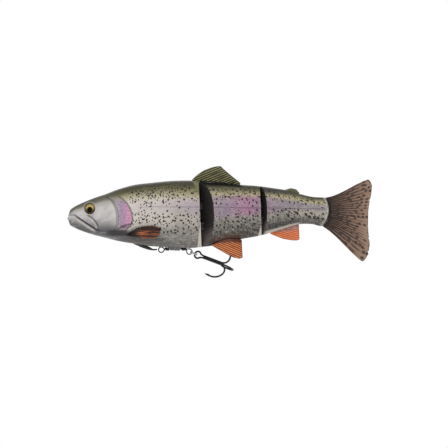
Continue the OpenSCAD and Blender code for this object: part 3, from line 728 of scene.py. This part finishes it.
def section(name, x_front, x_rear, rows, front_cap, rear_cap, shape, paint, bunching=1.0):
    """Closed skin of one body section; caps are material slots, or None for a closed snout."""
    length = float(x_rear(0.0, 0.0) - x_front(0.0, 0.0))
    ends = np.array([0, 0.12, 0.3, 0.6, 1.0]) * RIM / length
    inner = np.linspace(0, 1, rows) ** bunching
    inner = inner[(inner > ends[-1] * 1.3) & (inner < 1 - ends[-1] * 1.3)]
    t = np.concatenate([ends if front_cap is not None else [0.0], inner, 1 - ends[::-1]])[:, None]
    angle = np.linspace(0, 2 * np.pi, GIRTH_STEPS, endpoint=False)[None, :] + 0.5 * np.pi
    x = np.repeat(float(x_front(0.0, 0.0)) + t * length, GIRTH_STEPS, axis=1)
    for _ in range(12):
        y, z = around(x, angle)
        x = x_front(y, z) * (1 - t) + x_rear(y, z) * t
    y, z = around(x, angle)
    height = height_share(x, z)
    ring = np.stack([x, y, z], -1)
    step = np.linalg.norm(np.diff(ring, axis=1, append=ring[:, :1]), axis=-1)
    run = np.concatenate([np.zeros((len(t), 1)), np.cumsum(step, 1)[:, :-1]], 1)
    girth = np.minimum(run, run[:, -1:] + step[:, -1:] - run)
    normal = np.cross(np.roll(ring, -1, 1) - np.roll(ring, 1, 1), np.gradient(ring, axis=0))
    normal /= np.maximum(np.linalg.norm(normal, axis=-1, keepdims=True), 1e-9)
    normal *= np.where((normal[..., 1] * y + normal[..., 2] * (z - 4)) < 0, -1, 1)[..., None]
    move = shape(x, y, z, girth)
    d_front = (x - x_front(y, z)) if front_cap is not None else np.full_like(x, 9.0)
    d_rear = x_rear(y, z) - x
    for d in (d_front, d_rear):
        near = np.clip(1 - d / RIM, 0, 1)
        move = move * smooth(d, 0, 1.2) - RIM * (1 - np.sqrt(1 - near**2))
    ring = ring + normal * move[..., None]
    verts = [ring.reshape(-1, 3)]
    lay = [np.stack([x, girth, np.zeros_like(x)], -1).reshape(-1, 3)]
    heights = [height.ravel()]
    faces = grid_faces(len(t), GIRTH_STEPS, True)
    slots = [0] * len(faces)
    count = x.size

    def cap(edge, x_at, base, slot, flip, shares):
        """Rings over an end face, shrinking to a pole in its middle."""
        nonlocal count
        mid_z = 0.5 * (edge[:, 2].max() + edge[:, 2].min())
        for s in list(shares) + [0]:
            cy, cz = edge[:, 1] * s, mid_z + (edge[:, 2] - mid_z) * s
            if s == 0:
                cy, cz = cy[:1], cz[:1]
            cx = x_at(cy, cz)
            verts.append(np.stack([cx, cy, cz], -1))
            lay.append(np.stack([cy + 0.3, cz, np.zeros_like(cz)], -1))
            heights.append(height_share(cx, cz))
            for i in range(GIRTH_STEPS):
                k = (i + 1) % GIRTH_STEPS
                face = (base + i, count + i, count + k, base + k) if s else (base + i, count, base + k)
                faces.append(face if flip else face[::-1])
                slots.append(slot)
            base = count
            count += len(cx)

    shares = np.linspace(1, 0, 34)[1:-1]
    cap(ring[0], x_front, 0, front_cap or 0, True, [0.5] if front_cap is None else shares)
    cap(ring[-1], x_rear, x.size - GIRTH_STEPS, rear_cap, False, shares)
    obj = new_object(name, np.concatenate(verts), faces, [skin, bevel, cut_vinyl])
    obj.data.polygons.foreach_set("material_index", slots)
    attribute(obj, "lay", np.concatenate(lay))
    attribute(obj, "height", np.concatenate(heights))
    marks = paint(x, y, z, d_rear, height)
    for mask in MASKS:
        values = np.zeros(count)
        if mask in marks:
            values[:x.size] = marks[mask].ravel()
        attribute(obj, mask, values)
    return obj


def front_shape(x, y, z, girth):
    side = smooth(np.abs(y), 0.6, 2.2)
    h = relief(x, z) * side
    h += scale_relief(x, girth) * smooth(x, 50, 56)
    h -= line_mark(x, z, LATERAL_LINE, 0.3, 0.16) * smooth(x, 52, 56)
    keeper = between(x, 80.6, 82.4, 89.8, 91.6) * smooth(3.6 - np.abs(y), 0, 2.4) * (z < 0)
    return (h + 2.45 * keeper) * smooth(x, -1.4, 0.2)


def plain_shape(x, y, z, girth):
    return scale_relief(x, girth) - line_mark(x, z, LATERAL_LINE, 0.3, 0.16)


def corner(height, d_rear, width, top):
    """Pale wedge at the lower rear corner of a section, as wide as given at the belly."""
    wedge = width * np.clip((top - height) / top, 0, 1)
    return smooth(wedge - d_rear, -0.3, 0.3) * smooth(top + 0.02 - height, 0, 0.05)


def front_paint(x, y, z, d_rear, height):
    side = smooth(np.abs(y), 0.6, 2.2)
    dark = line_mark(x, z, MOUTH, 0.75, 0.95) * (0.3 + 0.7 * smooth(x, 2.5, 7.5))
    second_line = [(px + 1.3, pz) for px, pz in PREOPERCLE[1:]]
    for path, width, strength in (
            (MAXILLA[2:], 0.55, 0.85), (JAW_LINE, 1.3, 0.82), (PREOPERCLE, 0.6, 0.6),
            (second_line, 0.35, 0.6), (GILL_EDGE, 0.6, 0.75), (GILL_FLAP, 0.7, 0.8),
            (CHIN_SHADE, 1.7, 0.62), (LIP_SHADE, 0.9, 0.4), (CHEEK_SHADE, 3.2, 0.5)):
        dark = np.maximum(dark, line_mark(x, z, path, width, strength))
    # painted shade: dark patch on the throat under the jaw and gill cover
    patch = between(x, 22, 35, 46, 50) * between(z, -16.3, -13.8, -10.4, -8.8)
    flap = bell(x - 44.5, 3.6) * bell(z + 7.0 + 0.25 * (44.5 - x), 1.3)
    dark = np.maximum(dark, np.maximum(0.95 * patch, 0.85 * flap))
    lateral = line_mark(x, z, LATERAL_LINE, 0.35, 0.45) * smooth(x, 54, 60)
    snout = 0.6 * smooth(5 - x, 0, 7) * smooth(z, 1.5, 4)
    tip = 0.6 * bell(x + 0.5, 1.6) * bell(z + 3.0, 1.5)
    dark = np.maximum(np.maximum(dark, lateral) * side, np.maximum(snout, tip))
    gill = smooth(x - x_on_path(z, PREOPERCLE), 0.2, 1.2) * smooth(x_on_path(z, GILL_EDGE) - x, 0.1, 0.8)
    gill *= between(z, -9.5, -7.5, 13, 18)
    pale = corner(height, d_rear, 3.6, 0.40)
    eye = np.hypot(x - EYE[0], z - EYE[1])
    pale = np.maximum(pale, 0.3 * bell(eye - EYE_RADIUS - 0.6, 0.4))
    dark = np.maximum(dark, 0.45 * bell(eye - EYE_RADIUS - 0.05, 0.25))
    over_mouth = z - z_on_path(x, MOUTH)
    # pale lip, partly painted highlight along its raised edge
    lip = between(over_mouth, -3.6, -2.2, -1.2, -0.6) * between(x, 2, 7, 19.5, 22.5)
    pale = np.maximum(pale, 0.85 * lip)
    # painted highlight on the maxilla plate
    shine = bell(to_path(x, z, MAXILLA) - 1.4, 0.6)
    shine *= smooth(z_on_path(x, MAXILLA[:7]) - z, 0.3, 1.0)
    shine *= smooth(over_mouth, 0.4, 1.2) * between(x, 9, 14, 22.3, 23.3)
    pale = np.maximum(pale, 0.7 * shine)
    pale = np.maximum(pale, line_mark(x, z, FIN_HEM, 0.75, 1.0))
    olive = smooth(x - 100.2 - (30 - z) * 0.46, 0, 1.2) * smooth(z, 15.5, 18.5)
    return {"dark": dark, "gill": gill, "pale": pale * (1 - np.clip(dark, 0, 1)), "olive": olive}


def middle_paint(x, y, z, d_rear, height):
    lateral = line_mark(x, z, LATERAL_LINE, 0.35, 0.6)
    pale = corner(height, d_rear, 3.0, 0.22)
    rim = 0.4 * smooth(0.8 - d_rear, 0, 0.4) * smooth(0.85 - height, 0, 0.3)
    # painted shadow: black along the crest under the overhanging dorsal fin
    dorsal_fin_shadow = 0.9 * smooth(height, 0.93, 0.975) * smooth(143 - x, 0, 4)
    fin_line = line_mark(x, z, [(113.5, -21.9)] + [(px, pz + 0.2) for px, pz in PELVIC_ROOT], 0.5, 0.9)
    warm = line_mark(x, z, [(118, -18.2), (128, -15.0), (139, -15.8)], 2.6, 0.65)
    return {"dark": lateral, "pale": np.maximum(pale, rim) * (1 - fin_line),
            "black": np.maximum(dorsal_fin_shadow, fin_line), "warm": warm}


def rear_paint(x, y, z, d_rear, height):
    lateral = line_mark(x, z, LATERAL_LINE, 0.35, 0.5)
    end = 0.45 * smooth(3.6 - d_rear, 0, 2.0)
    hem = 0.85 * smooth(0.09 - height, 0, 0.05) * between(x, 158, 162, 184, 192)
    over_hem = 0.6 * bell(height - 0.14, 0.055) * smooth(194 - x, 0, 10)
    back = 0.55 * smooth(height, 0.82, 0.91) * smooth(184 - x, 0, 8)
    dark = np.maximum(lateral, np.maximum(over_hem, back))
    # the black at the stalk's end is painted shadow in the groove round the tail's root
    return {"dark": dark, "pale": np.maximum(end, hem), "black": smooth(0.95 - d_rear, 0, 0.4)}


def head_start(y, z):
    return np.full(np.shape(y), BODY_LINES[0, 0])


front_skin = section("front_skin", head_start, front_flat, 250, None, 2, front_shape, front_paint, 1.25)
middle_skin = section("middle_skin", front_face, middle_flat, 115, 1, 2, plain_shape, middle_paint)
rear_skin = section("rear_skin", rear_face, stalk_face, 130, 1, 1, plain_shape, rear_paint)


def slots_for(hinge, spans, radius, reach):
    """Cutters for the hinge tongues' slots, each over one span of heights."""
    arc = [(radius * math.sin(a), radius * math.cos(a)) for a in np.linspace(0, math.pi, 25)]
    outline = [(-reach, -reach)] + [(x, -y) for x, y in arc] + [(-reach, reach)]
    return [prism("cutter", outline, z0 - 0.03, z1 + 0.03, bevel, hinge) for z0, z1 in spans]


# the belly's slit for the rig wire, wider where its wraps lie
cut(front_skin, [box_cutter(x0, x1, -half, half, -31, top, skin) for x0, x1, half, top in (
    (72.2, 77.4, 0.7, -23), (77.0, 81.5, 1.65, -23.8), (81.0, 91.2, 0.55, -24.9),
    (90.7, 96.2, 1.65, -23.8), (96.0, 100.9, 0.7, -23.4))])
cut(middle_skin, slots_for((FRONT_X, FRONT_LEAN), [(-9, -4), (7, 12)], 3.0, 9))
tail_flare = [(TAIL_X - 0.6, -0.85), (TAIL_X + 8, -2.75), (TAIL_X + 8, 2.75), (TAIL_X - 0.6, 0.85)]
pin_room = circle(TAIL_X, 0, 2.0)
cut(rear_skin, slots_for((REAR_X, REAR_LEAN), [(-4, 0), (8, 12)], 2.6, 8) + [
    prism("cutter", tail_flare, -30, 30, bevel), prism("cutter", pin_room, -0.1, 12.1, bevel)])
body_of_piece(front_skin, "front_section", "body_skin", "front_body")
body_of_piece(middle_skin, "middle_section", "body_skin", "middle_body")
body_of_piece(rear_skin, "rear_section", "body_skin", "rear_body")

# ---------------- fins

def fin(name, body, slot, material, middle, thick_root, thick_edge, rays, cols, rows, nodes,
        ray_height, start=0.0, rounding=(0.0, 0.0), forked=True):
    """Two-sided plate round a middle surface middle(u, v) with raised rays.

    rays is how many fan out from the root, or a function of x and z for the ray count and the run along them.
    """
    u = np.linspace(0, 1, cols)[None, :].repeat(rows, 0)
    v = (np.linspace(0, 1, rows) ** 0.9)[:, None].repeat(cols, 1)
    corner = np.clip(1 - np.minimum(u, 1 - u) / max(rounding[0], 1e-6), 0, 1)
    mid = middle(u, v * (1 - rounding[1] * (1 - np.sqrt(1 - corner**2))))
    parallel = callable(rays)
    count, run = rays(mid[..., 0], mid[..., 2]) if parallel else (rays * u, v * 3.6)
    coarse = np.abs(np.cos(np.pi * count)) ** 3
    fine = np.abs(np.cos(2 * np.pi * count)) ** 3
    split_at = smooth(v, 0.35, 0.6) if forked and not parallel else 0.0
    ray = (coarse * (1 - split_at) + fine * split_at) * smooth(v, start, start + 0.12)
    ray = ray if forked else ray + (1 - ray) * 0.6 * smooth(v, 0.7, 1.0)
    thick = thick_root + (thick_edge - thick_root) * v
    rim = to_rim(mid)
    edge = np.sqrt(1 - (1 - np.clip(rim / 0.7, 0, 1)) ** 2)
    half = 0.5 * thick * (1 - ray_height + ray_height * ray) * (0.28 + 0.72 * edge)
    sides = [mid + s * half[..., None] * (0, 1, 0) for s in SIDES.values()]
    verts = np.concatenate([s.reshape(-1, 3) for s in sides])
    n = rows * cols
    faces = grid_faces(rows, cols, False)
    turn = np.cross(mid[-1, -1] - mid[0, 0], mid[-1, 0] - mid[0, -1])[1]
    faces += [tuple(reversed([i + n for i in f])) for f in faces]
    loop = list(range(cols)) + [j * cols + cols - 1 for j in range(1, rows)]
    loop += [(rows - 1) * cols + i for i in range(cols - 2, -1, -1)]
    loop += [j * cols for j in range(rows - 2, 0, -1)]
    faces += [(b, a, a + n, b + n) for a, b in zip(loop, loop[1:] + loop[:1])]
    if turn > 0:
        faces = [tuple(reversed(f)) for f in faces]
    obj = new_object(name, verts, faces, [material])
    for key, values in (("fin", [u, v, rim]), ("rays", [count, run, 0 * run])):
        attribute(obj, key, np.tile(np.stack(values, -1).reshape(-1, 3), (2, 1)))
    attribute(obj, "ray", np.tile(ray.ravel(), 2))
    return body_of_piece(obj, body, slot, *nodes)


def parallel_rays(degrees, pitch):
    """Rays at one angle to the x axis."""
    c, s = math.cos(math.radians(degrees)), math.sin(math.radians(degrees))
    return lambda x, z: ((z * c - x * s) / pitch, (x * c + z * s) / 10)


def to_rim(mid):
    """Distance over the middle surface from each point to the nearest of its two sides and its edge."""
    along = np.cumsum(np.pad(np.linalg.norm(np.diff(mid, axis=1), axis=-1), ((0, 0), (1, 0))), 1)
    out = np.cumsum(np.pad(np.linalg.norm(np.diff(mid, axis=0), axis=-1), ((1, 0), (0, 0))), 0)
    return np.minimum(np.minimum(along, along[:, -1:] - along), out[-1:] - out)


def ruled(root, edge):
    """Surface of straight lines from a root to an edge, given as x, z or x, y, z points."""
    root, edge = np.array(root, float), np.array(edge, float)

    def at(line, u):
        s = np.linspace(0, 1, len(line))
        return np.stack([np.interp(u, s, line[:, k]) for k in range(line.shape[1])], -1)

    def middle(u, v):
        p = at(root, u) * (1 - v[..., None]) + at(edge, u) * v[..., None]
        return p if p.shape[-1] == 3 else np.stack([p[..., 0], 0 * u, p[..., 1]], -1)
    return middle


# the overhanging fin clears the middle section's back by a hair
dorsal_root = [[100.6, 29.4], [102.4, 29.2], [104.3, 29.2]] + [
    [x, float(lines_at(x)[1]) + 0.06] for x in (105.8, 109, 112, 118, 124, 130, 135, 139.4)]
fin("dorsal_fin_blade", "front_section", "dorsal_fin", dorsal_skin, ruled(
    dorsal_root,
    [[100.0, 31.4], [104.2, 35.4], [109.8, 39.1], [115.5, 41.3], [120.1, 42.4], [123.4, 42.6],
     [126.7, 39.5], [131.9, 35.1], [136, 31.8], [139.8, 28.7]]),
    2.2, 0.9, parallel_rays(22, 1.75), 240, 60, ["dorsal_fin"], ray_height=0.45)
fin("anal_fin_blade", "rear_section", "orange_fin", pale_root_fin, ruled(
    [[164.6, -10.8], [171.5, -8.8], [177, -6.8], [182.5, -5.0], [187.6, -3.8]],
    [[164.2, -12.9], [168.8, -14.9], [174.7, -17.1], [180.8, -18.2], [185.5, -18.5], [188.2, -17.6]]),
    1.8, 0.8, parallel_rays(-13, 1.5), 180, 50, ["anal_fin"], ray_height=0.4, start=0.3)


# small tears in the tail's edge: share along the edge, depth as a share of the fin
TAIL_NICKS = [(0.249, 0.028), (0.42, 0.01), (0.58, 0.01), (0.733, 0.03), (0.892, 0.024)]
NICK_WIDTH = 0.006


def fanned_tail(u, v):
    """Hollow top edge, full bottom edge, rays bent down more and more towards the bottom."""
    bend = 16 * v * (1 - v) * (0.66 - v) * (1.05 * u**3 - (1 - u)**3)
    nicks = sum(depth * bell(u - at, NICK_WIDTH) for at, depth in TAIL_NICKS)
    v = v - nicks * v**12
    plate = tail_plate(u, v) * (1, 1, 0) + tail_plate(u, v - 0.2 * u * (1 - u**6) * v * (1 - v)) * (0, 0, 1)
    return plate + bend[..., None] * (0, 0, 1)


tail_plate = ruled(
    [[210.05, 16.85], [210.6, 15.0], [211.2, 12.8], [211.4, 10.3], [211.4, 8.0], [211.4, 5.5],
     [211.4, 3.0], [211.4, 0.6], [210.9, -1.6], [210.2, -3.4], [209.1, -5.0], [207.1, -6.9]],
    [[245.6, 32.0], [247.7, 26.5], [247.0, 19.5], [245.6, 13.0], [244.8, 8.0], [244.5, 3],
     [244.4, -4], [244.6, -11], [245.2, -16.5], [245.8, -21.5], [244.6, -29.5], [240.6, -36.6]])
tail_blade = fin(
    "tail_fin_blade", "tail", "tail_fin", tail_skin, fanned_tail,
    1.4, 0.8, 23, 420, 110, ["tail_fin"], ray_height=0.5, rounding=(0.05, 0.055), forked=False)
# the stalk's ear sits between two barrels on the tail's pin
cut(tail_blade, [box_cutter(205, 212.6, -4, 4, 3.2, 6.8, tail_skin)])
for word, z0, z1 in (("lower", 0.6, 3.2), ("upper", 6.8, 11.4)):
    barrel = prism("tail_" + word + "_barrel", circle(TAIL_X, 0, 1.6), z0, z1, tail_skin)
    cut(barrel, [prism("cutter", circle(TAIL_X, 0, 0.65), z0 - 1, z1 + 1, tail_skin)])
    body_of_piece(barrel, "tail", "tail_fin")

PECTORAL_LOW = [[46.4, -14.2], [52, -15.4], [57.5, -16.3], [63, -16.9], [68.5, -16.7], [73.0, -15.2]]
PECTORAL_HIGH = [[46.2, -13.4], [50.5, -10.9], [55, -8.6], [60.5, -7.0], [67.5, -6.3], [74.8, -7.8]]


def pectoral_lift(x):
    """How far the fin stands off the flank."""
    return np.where(x < 50, -0.2 + 1.2 * (x - 46) / 4, 1.0 + 0.035 * (x - 50))


for word, side in SIDES.items():
    root = [[x, side * (float(flank(x, z)) - 0.5), z] for x, z in PELVIC_ROOT]
    edge = [[x, side * y, z] for x, y, z in PELVIC_EDGE]
    fin(word + "_pelvic_blade", "middle_section", "orange_fin", orange_fin, ruled(root, edge),
        1.6, 0.8, parallel_rays(-23, 1.6), 200, 60, [word + "_pelvic_fin"], ray_height=0.4, start=0.1)

    def pectoral(u, v):
        low_high = ruled(PECTORAL_LOW, PECTORAL_HIGH)(v, u)
        x, z = low_high[..., 0], low_high[..., 2]
        return np.stack([x, side * (flank(x, z) + pectoral_lift(x)), z], -1)
    fin(word + "_pectoral_blade", "front_section", "orange_fin", pectoral_skin, pectoral,
        1.1, 0.9, 6, 120, 110, [word + "_pectoral_fin"], ray_height=0.5, rounding=(0.22, 0.1))

# ---------------- eyes

# the dome from its top to the edge of the disc: share of the eye's radius, height over the flank
EYE_PROFILE = [(0.0, 1.08), (0.12, 1.07), (0.25, 1.02), (0.4, 0.9), (0.55, 0.7), (0.7, 0.42), (0.82, 0.12),
               (0.9, -0.12), (0.95, -0.34), (0.985, -0.6), (0.99, -1.3), (0.96, -1.9)]
EYE_TURNS = 64


def outward(x, z, side):
    """Unit normal of the flank."""
    dx = float(flank(x + 1, z) - flank(x - 1, z)) / 2
    dz = float(flank(x, z + 1) - flank(x, z - 1)) / 2
    v = np.array([-dx, side, -dz])
    return v / np.linalg.norm(v)


for word, side in SIDES.items():
    out = outward(*EYE, side)
    up = np.array([0.0, 0.0, 1.0])
    up -= up.dot(out) * out
    up /= np.linalg.norm(up)
    forward = np.cross(up, out) * side
    centre = np.array([EYE[0], side * float(flank(*EYE)), EYE[1]])
    verts, iris = [centre + out * EYE_PROFILE[0][1]], [(0, 0, 0)]
    for r, h in EYE_PROFILE[1:]:
        for a in np.linspace(0, 2 * np.pi, EYE_TURNS, endpoint=False):
            c, s = r * math.cos(a), r * math.sin(a)
            verts.append(centre + out * h + EYE_RADIUS * (c * forward + s * up))
            iris.append((c, s, 0))
    faces = [(0, 1 + i, 1 + (i + 1) % EYE_TURNS) for i in range(EYE_TURNS)]
    last = 1 + (len(EYE_PROFILE) - 2) * EYE_TURNS
    faces += [f[::-1] for f in grid_faces(len(EYE_PROFILE) - 1, EYE_TURNS, True, 1)]
    faces.append(tuple(last + i for i in reversed(range(EYE_TURNS))))
    obj = new_object(word + "_eye", verts, faces, [eye_skin])
    attribute(obj, "iris", np.array(iris, float))
    body_of_piece(obj, "front_section", "eye_dome", word + "_eye_disc", word + "_eye_dome")

# ---------------- adipose fin, moulded on the rear section

fin("adipose_fin_blade", "rear_section", "body_skin", adipose_skin, ruled(
    [[176.4, 21.6], [180, 20.8], [184, 19.4], [187, 18.4]],
    [[176.6, 23.3], [181, 24.5], [185.4, 23.6], [188.2, 20.6]]), 2.2, 1.0, 4, 90, 30, [], ray_height=0.1)

# ---------------- line sleeve, rig wire, ring and hook

def along_line(s):
    """Point at a distance from the nose down the fishing line."""
    return np.array([s * math.cos(LINE_SLOPE), 0, -s * math.sin(LINE_SLOPE)])


# ribbed sleeve, and the thin lip that it ends in along the belly
sleeve_path = [along_line(s) for s in (
    56, 60, 60.4, 60.8, 62, 63.2, 63.6, 64, 65.2, 66.4, 66.8, 67.2, 68.4, 70, 71.2)]
sleeve_radii = [1.2, 1.4, 1.25, 1.45, 1.55, 1.6, 1.45, 1.62, 1.58, 1.5, 1.34, 1.48, 1.4, 1.2, 0.95]
sleeve_path += [(67.4, 0, -25.78), (68.4, 0, -25.95), (69.3, 0, -25.98), (70.2, 0, -25.93), (71.4, 0, -25.77)]
sleeve_radii += [0.75, 0.66, 0.63, 0.6, 0.55]
tube_piece("line_sleeve", sleeve_path, sleeve_radii, 24, sleeve_black, "front_section", "sleeve_rubber",
           "exit_sleeve")

SHANK_Z = -25.4
WIRE = 0.48
WRAP_RADIUS = 1.04
LOOP_RADIUS = 2.2
REAR_LOOP = (97.9, -27.6)


def helix(x0, x1, turns, phase, steps):
    """Wraps round the shank from x0 to x1."""
    t = np.linspace(0, 1, steps + 1)
    a = np.radians(phase + 360 * turns * t)
    return np.stack([x0 + (x1 - x0) * t, WRAP_RADIUS * np.cos(a), SHANK_Z + WRAP_RADIUS * np.sin(a)], -1)


def wire_loop(cx, cz, a0, a1, y0, y1, steps):
    """End loop of the wire, which drifts sideways from y0 to y1."""
    t = np.linspace(0, 1, steps + 1)
    a = np.radians(a0 + (a1 - a0) * t)
    return np.stack([cx + LOOP_RADIUS * np.cos(a), y0 + (y1 - y0) * t, cz + LOOP_RADIUS * np.sin(a)], -1)


rig_path = np.concatenate([
    helix(81.0, 77.9, 2.75, -90, 60), wire_loop(74.8, -26.0, -30, -340, -0.75, 0, 52),
    [[x, 0, SHANK_Z] for x in (78.4, 84, 91, 96.2)],
    wire_loop(*REAR_LOOP, 90, -175, 0, 0.75, 48), [[95.6, 1.0, -26.4]], helix(95.2, 91.2, 3.5, 0, 76)])
tube_piece("rig_wire", rig_path, WIRE, 14, rig_black, "rig", "rig_wire", "rig_link")

# where the ring hangs in the wire's loop, and its frame: down the line's slope and turned about it
slope_c, slope_s = math.cos(LINE_SLOPE), math.sin(LINE_SLOPE)
contact = np.array([REAR_LOOP[0] + LOOP_RADIUS * slope_c, 0, REAR_LOOP[1] - LOOP_RADIUS * slope_s])
YAW = math.radians(25)
RING_FRAME = np.array([
    [math.cos(YAW) * slope_c, math.sin(YAW), -math.cos(YAW) * slope_s],
    [-math.sin(YAW) * slope_c, math.cos(YAW), math.sin(YAW) * slope_s],
    [slope_s, 0, slope_c]])
RING_RADIUS, RING_X, RING_WIRE = 3.0, 1.75, 0.4


def at_ring(points, shift=0.0):
    return contact + (np.asarray(points, float) + (shift, 0, 0)) @ RING_FRAME


# two turns side by side, with one short step between them
share = np.linspace(0, 1, 161)
turn = np.radians(100 + 716 * share)
rise = np.clip((share * 64 - 29) / 6, 0, 1)
ring_path = np.stack([RING_X + RING_RADIUS * np.cos(turn), RING_RADIUS * np.sin(turn),
                      -0.43 + 0.86 * rise], -1)
tube_piece("ring_wire", at_ring(ring_path), RING_WIRE, 14, bright_steel, "ring", "bright_steel", "split_ring")

HOOK_EYE_X = 5.64
SHANK_OFFSET = 1.0
HOOK_GAPE = 14.9
BEND_X = 22.5
BEND_POINTS = 33
HOOK_WIRE = 0.75
# place along the hook and radius, from the end of the bend to the point
POINT_TAPER = [(21.6, 0.75), (20.5, 0.75), (19.6, 0.74), (18.6, 0.7), (17.9, 0.58), (17.2, 0.45),
               (16.8, 0.35), (16.4, 0.24), (15.9, 0.05)]


def prong_dir(degrees):
    a = math.radians(degrees)
    return np.array([0, math.sin(a), -math.cos(a)])


def beside(degrees, x, offset=SHANK_OFFSET):
    """Point of the hook at a distance from its axis, on the side of one prong."""
    return np.array([x, 0, 0]) + offset * prong_dir(degrees)


def prong_out(degrees):
    """Bend and point of one prong."""
    r = HOOK_GAPE / 2
    centre = SHANK_OFFSET + r
    points = [beside(degrees, BEND_X + r * math.sin(t), centre - r * math.cos(t))
              for t in np.linspace(0, math.pi, BEND_POINTS)]
    return points + [beside(degrees, x, centre + r - 0.05 * (BEND_X - x)) for x, _ in POINT_TAPER]


prong_radii = [HOOK_WIRE] * BEND_POINTS + [r for _, r in POINT_TAPER]
first, second, third = 36, 156, 276
eye_loop = [np.array([2.8 * math.cos(t), 0, 2.8 * math.sin(t)])
            for t in np.radians(np.linspace(-36, -324, 49))]
neck = [beside(first, 12), beside(first, 5.4), np.array([3.7, 0.3, -1.15])]
neck_back = [np.array([3.7, 0.2, 1.15]), beside(second, 5.4), beside(second, 12)]
double_path = prong_out(first)[::-1] + neck + eye_loop + neck_back + prong_out(second)
double_radii = prong_radii[::-1] + [HOOK_WIRE] * (len(neck + eye_loop + neck_back)) + prong_radii
third_path = [beside(third, 5.2)] + prong_out(third)
for name, node, path, radii in (
        ("hook_double", "hook_double_wire", double_path, double_radii),
        ("hook_third", "hook_third_wire", third_path, [HOOK_WIRE] + prong_radii)):
    tube_piece(name, at_ring(path, HOOK_EYE_X), radii, 16, black_nickel, "hook", "hook_wire", node)

# barbs: small raised slivers on the inner side of each point
for degrees, word in ((first, "first"), (second, "second"), (third, "third")):
    spine = [beside(degrees, x, SHANK_OFFSET + HOOK_GAPE - 0.15 - inward)
             for x, inward in ((17.4, 0.55), (18.2, 0.75), (19.3, 1.05), (20.1, 1.35))]
    tube_piece(word + "_barb", at_ring(spine, HOOK_EYE_X), [0.12, 0.3, 0.22, 0.05], 10, black_nickel,
               "hook", "hook_wire")

# ---------------- hinge pin plugs, flush in the back

for hinge_x, lean, body, name, node in (
        (FRONT_X, FRONT_LEAN, "middle_section", "front_plug", "front_pin_plug"),
        (REAR_X, REAR_LEAN, "rear_section", "rear_plug", "rear_pin_plug")):
    x = hinge_x - float(lines_at(hinge_x)[1]) * math.sin(lean)
    top = float(lines_at(x)[1])
    plug_path = [(x, 0, top + rise) for rise in (-3, -0.3, -0.06, 0.01, 0.04)]
    tube_piece(name, plug_path, [1.15, 1.15, 1.05, 0.75, 0.3], 28, adipose_skin, body, "body_skin", node)

# ---------------- carried-over CAD nodes

for node, material in (
        ("front_frame", black_nylon), ("middle_frame", black_nylon), ("rear_frame", black_nylon),
        ("line_tube", tube_black), ("nose_grommet", bright_steel), ("front_ballast", dull_steel),
        ("middle_ballast", dull_steel), ("front_hinge_pin", bright_steel), ("rear_hinge_pin", bright_steel),
        ("tail_pin", bright_steel), ("hook_braze", black_nickel)):
    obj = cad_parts[node]
    obj.data.materials.clear()
    obj.data.materials.append(material)

# ---------------- floor, light, camera

floor_material = plastic_material("pale_floor", "#f4f4f3", "#f1f1f0", 0.9, 40.0, 0.02)
FLOOR_X, FLOOR_Z, FLOOR_RADIUS, FLOOR_SIDES = 120, -420, 2200, 96
floor_points = [(FLOOR_X, 0, FLOOR_Z)]
for a in np.linspace(0, 2 * math.pi, FLOOR_SIDES, endpoint=False):
    floor_points.append((FLOOR_X + FLOOR_RADIUS * math.cos(a), FLOOR_RADIUS * math.sin(a), FLOOR_Z))
floor_faces = [(0, 1 + i, 1 + (i + 1) % FLOOR_SIDES) for i in range(FLOOR_SIDES)]
floor = new_object("floor", floor_points, floor_faces, [floor_material], False)

world = bpy.data.worlds.new("studio")
world.use_nodes = True
background = world.node_tree.nodes["Background"]
background.inputs["Color"].default_value = (1, 1, 1, 1)
background.inputs["Strength"].default_value = 1.0
bpy.context.scene.world = world


def softbox(name, place, aim, size, power):
    data = bpy.data.lights.new(name, "AREA")
    data.shape = "RECTANGLE"
    data.size, data.size_y = size
    data.energy = power
    obj = bpy.data.objects.new(name, data)
    bpy.context.scene.collection.objects.link(obj)
    obj.location = place
    obj.rotation_euler = (obj.location - Vector(aim)).to_track_quat("Z", "Y").to_euler()


AIM = (0.12, 0, 0)
softbox("key", (-0.15, -0.75, 0.75), AIM, (0.7, 0.35), 1.4)
softbox("side", (0.9, -0.6, 0.3), AIM, (0.3, 0.5), 0.4)
softbox("back", (0.2, 0.8, 0.6), AIM, (0.8, 0.3), 0.8)

SENSOR_WIDTH = 36
CAMERA_DISTANCE = 2.2
VIEW_WIDTH = 367.36 * MM
VIEW_CENTRE = (126.28 * MM, -4.92 * MM)
camera_data = bpy.data.cameras.new("camera")
camera_data.sensor_width = SENSOR_WIDTH
camera_data.lens = SENSOR_WIDTH * CAMERA_DISTANCE / VIEW_WIDTH
camera_data.clip_start, camera_data.clip_end = 0.05, 20
camera = bpy.data.objects.new("camera", camera_data)
bpy.context.scene.collection.objects.link(camera)
camera.location = (VIEW_CENTRE[0], -CAMERA_DISTANCE, VIEW_CENTRE[1])
camera.rotation_euler = (math.pi / 2, 0, 0)
bpy.context.scene.camera = camera
bpy.context.scene.view_settings.view_transform = "Standard"
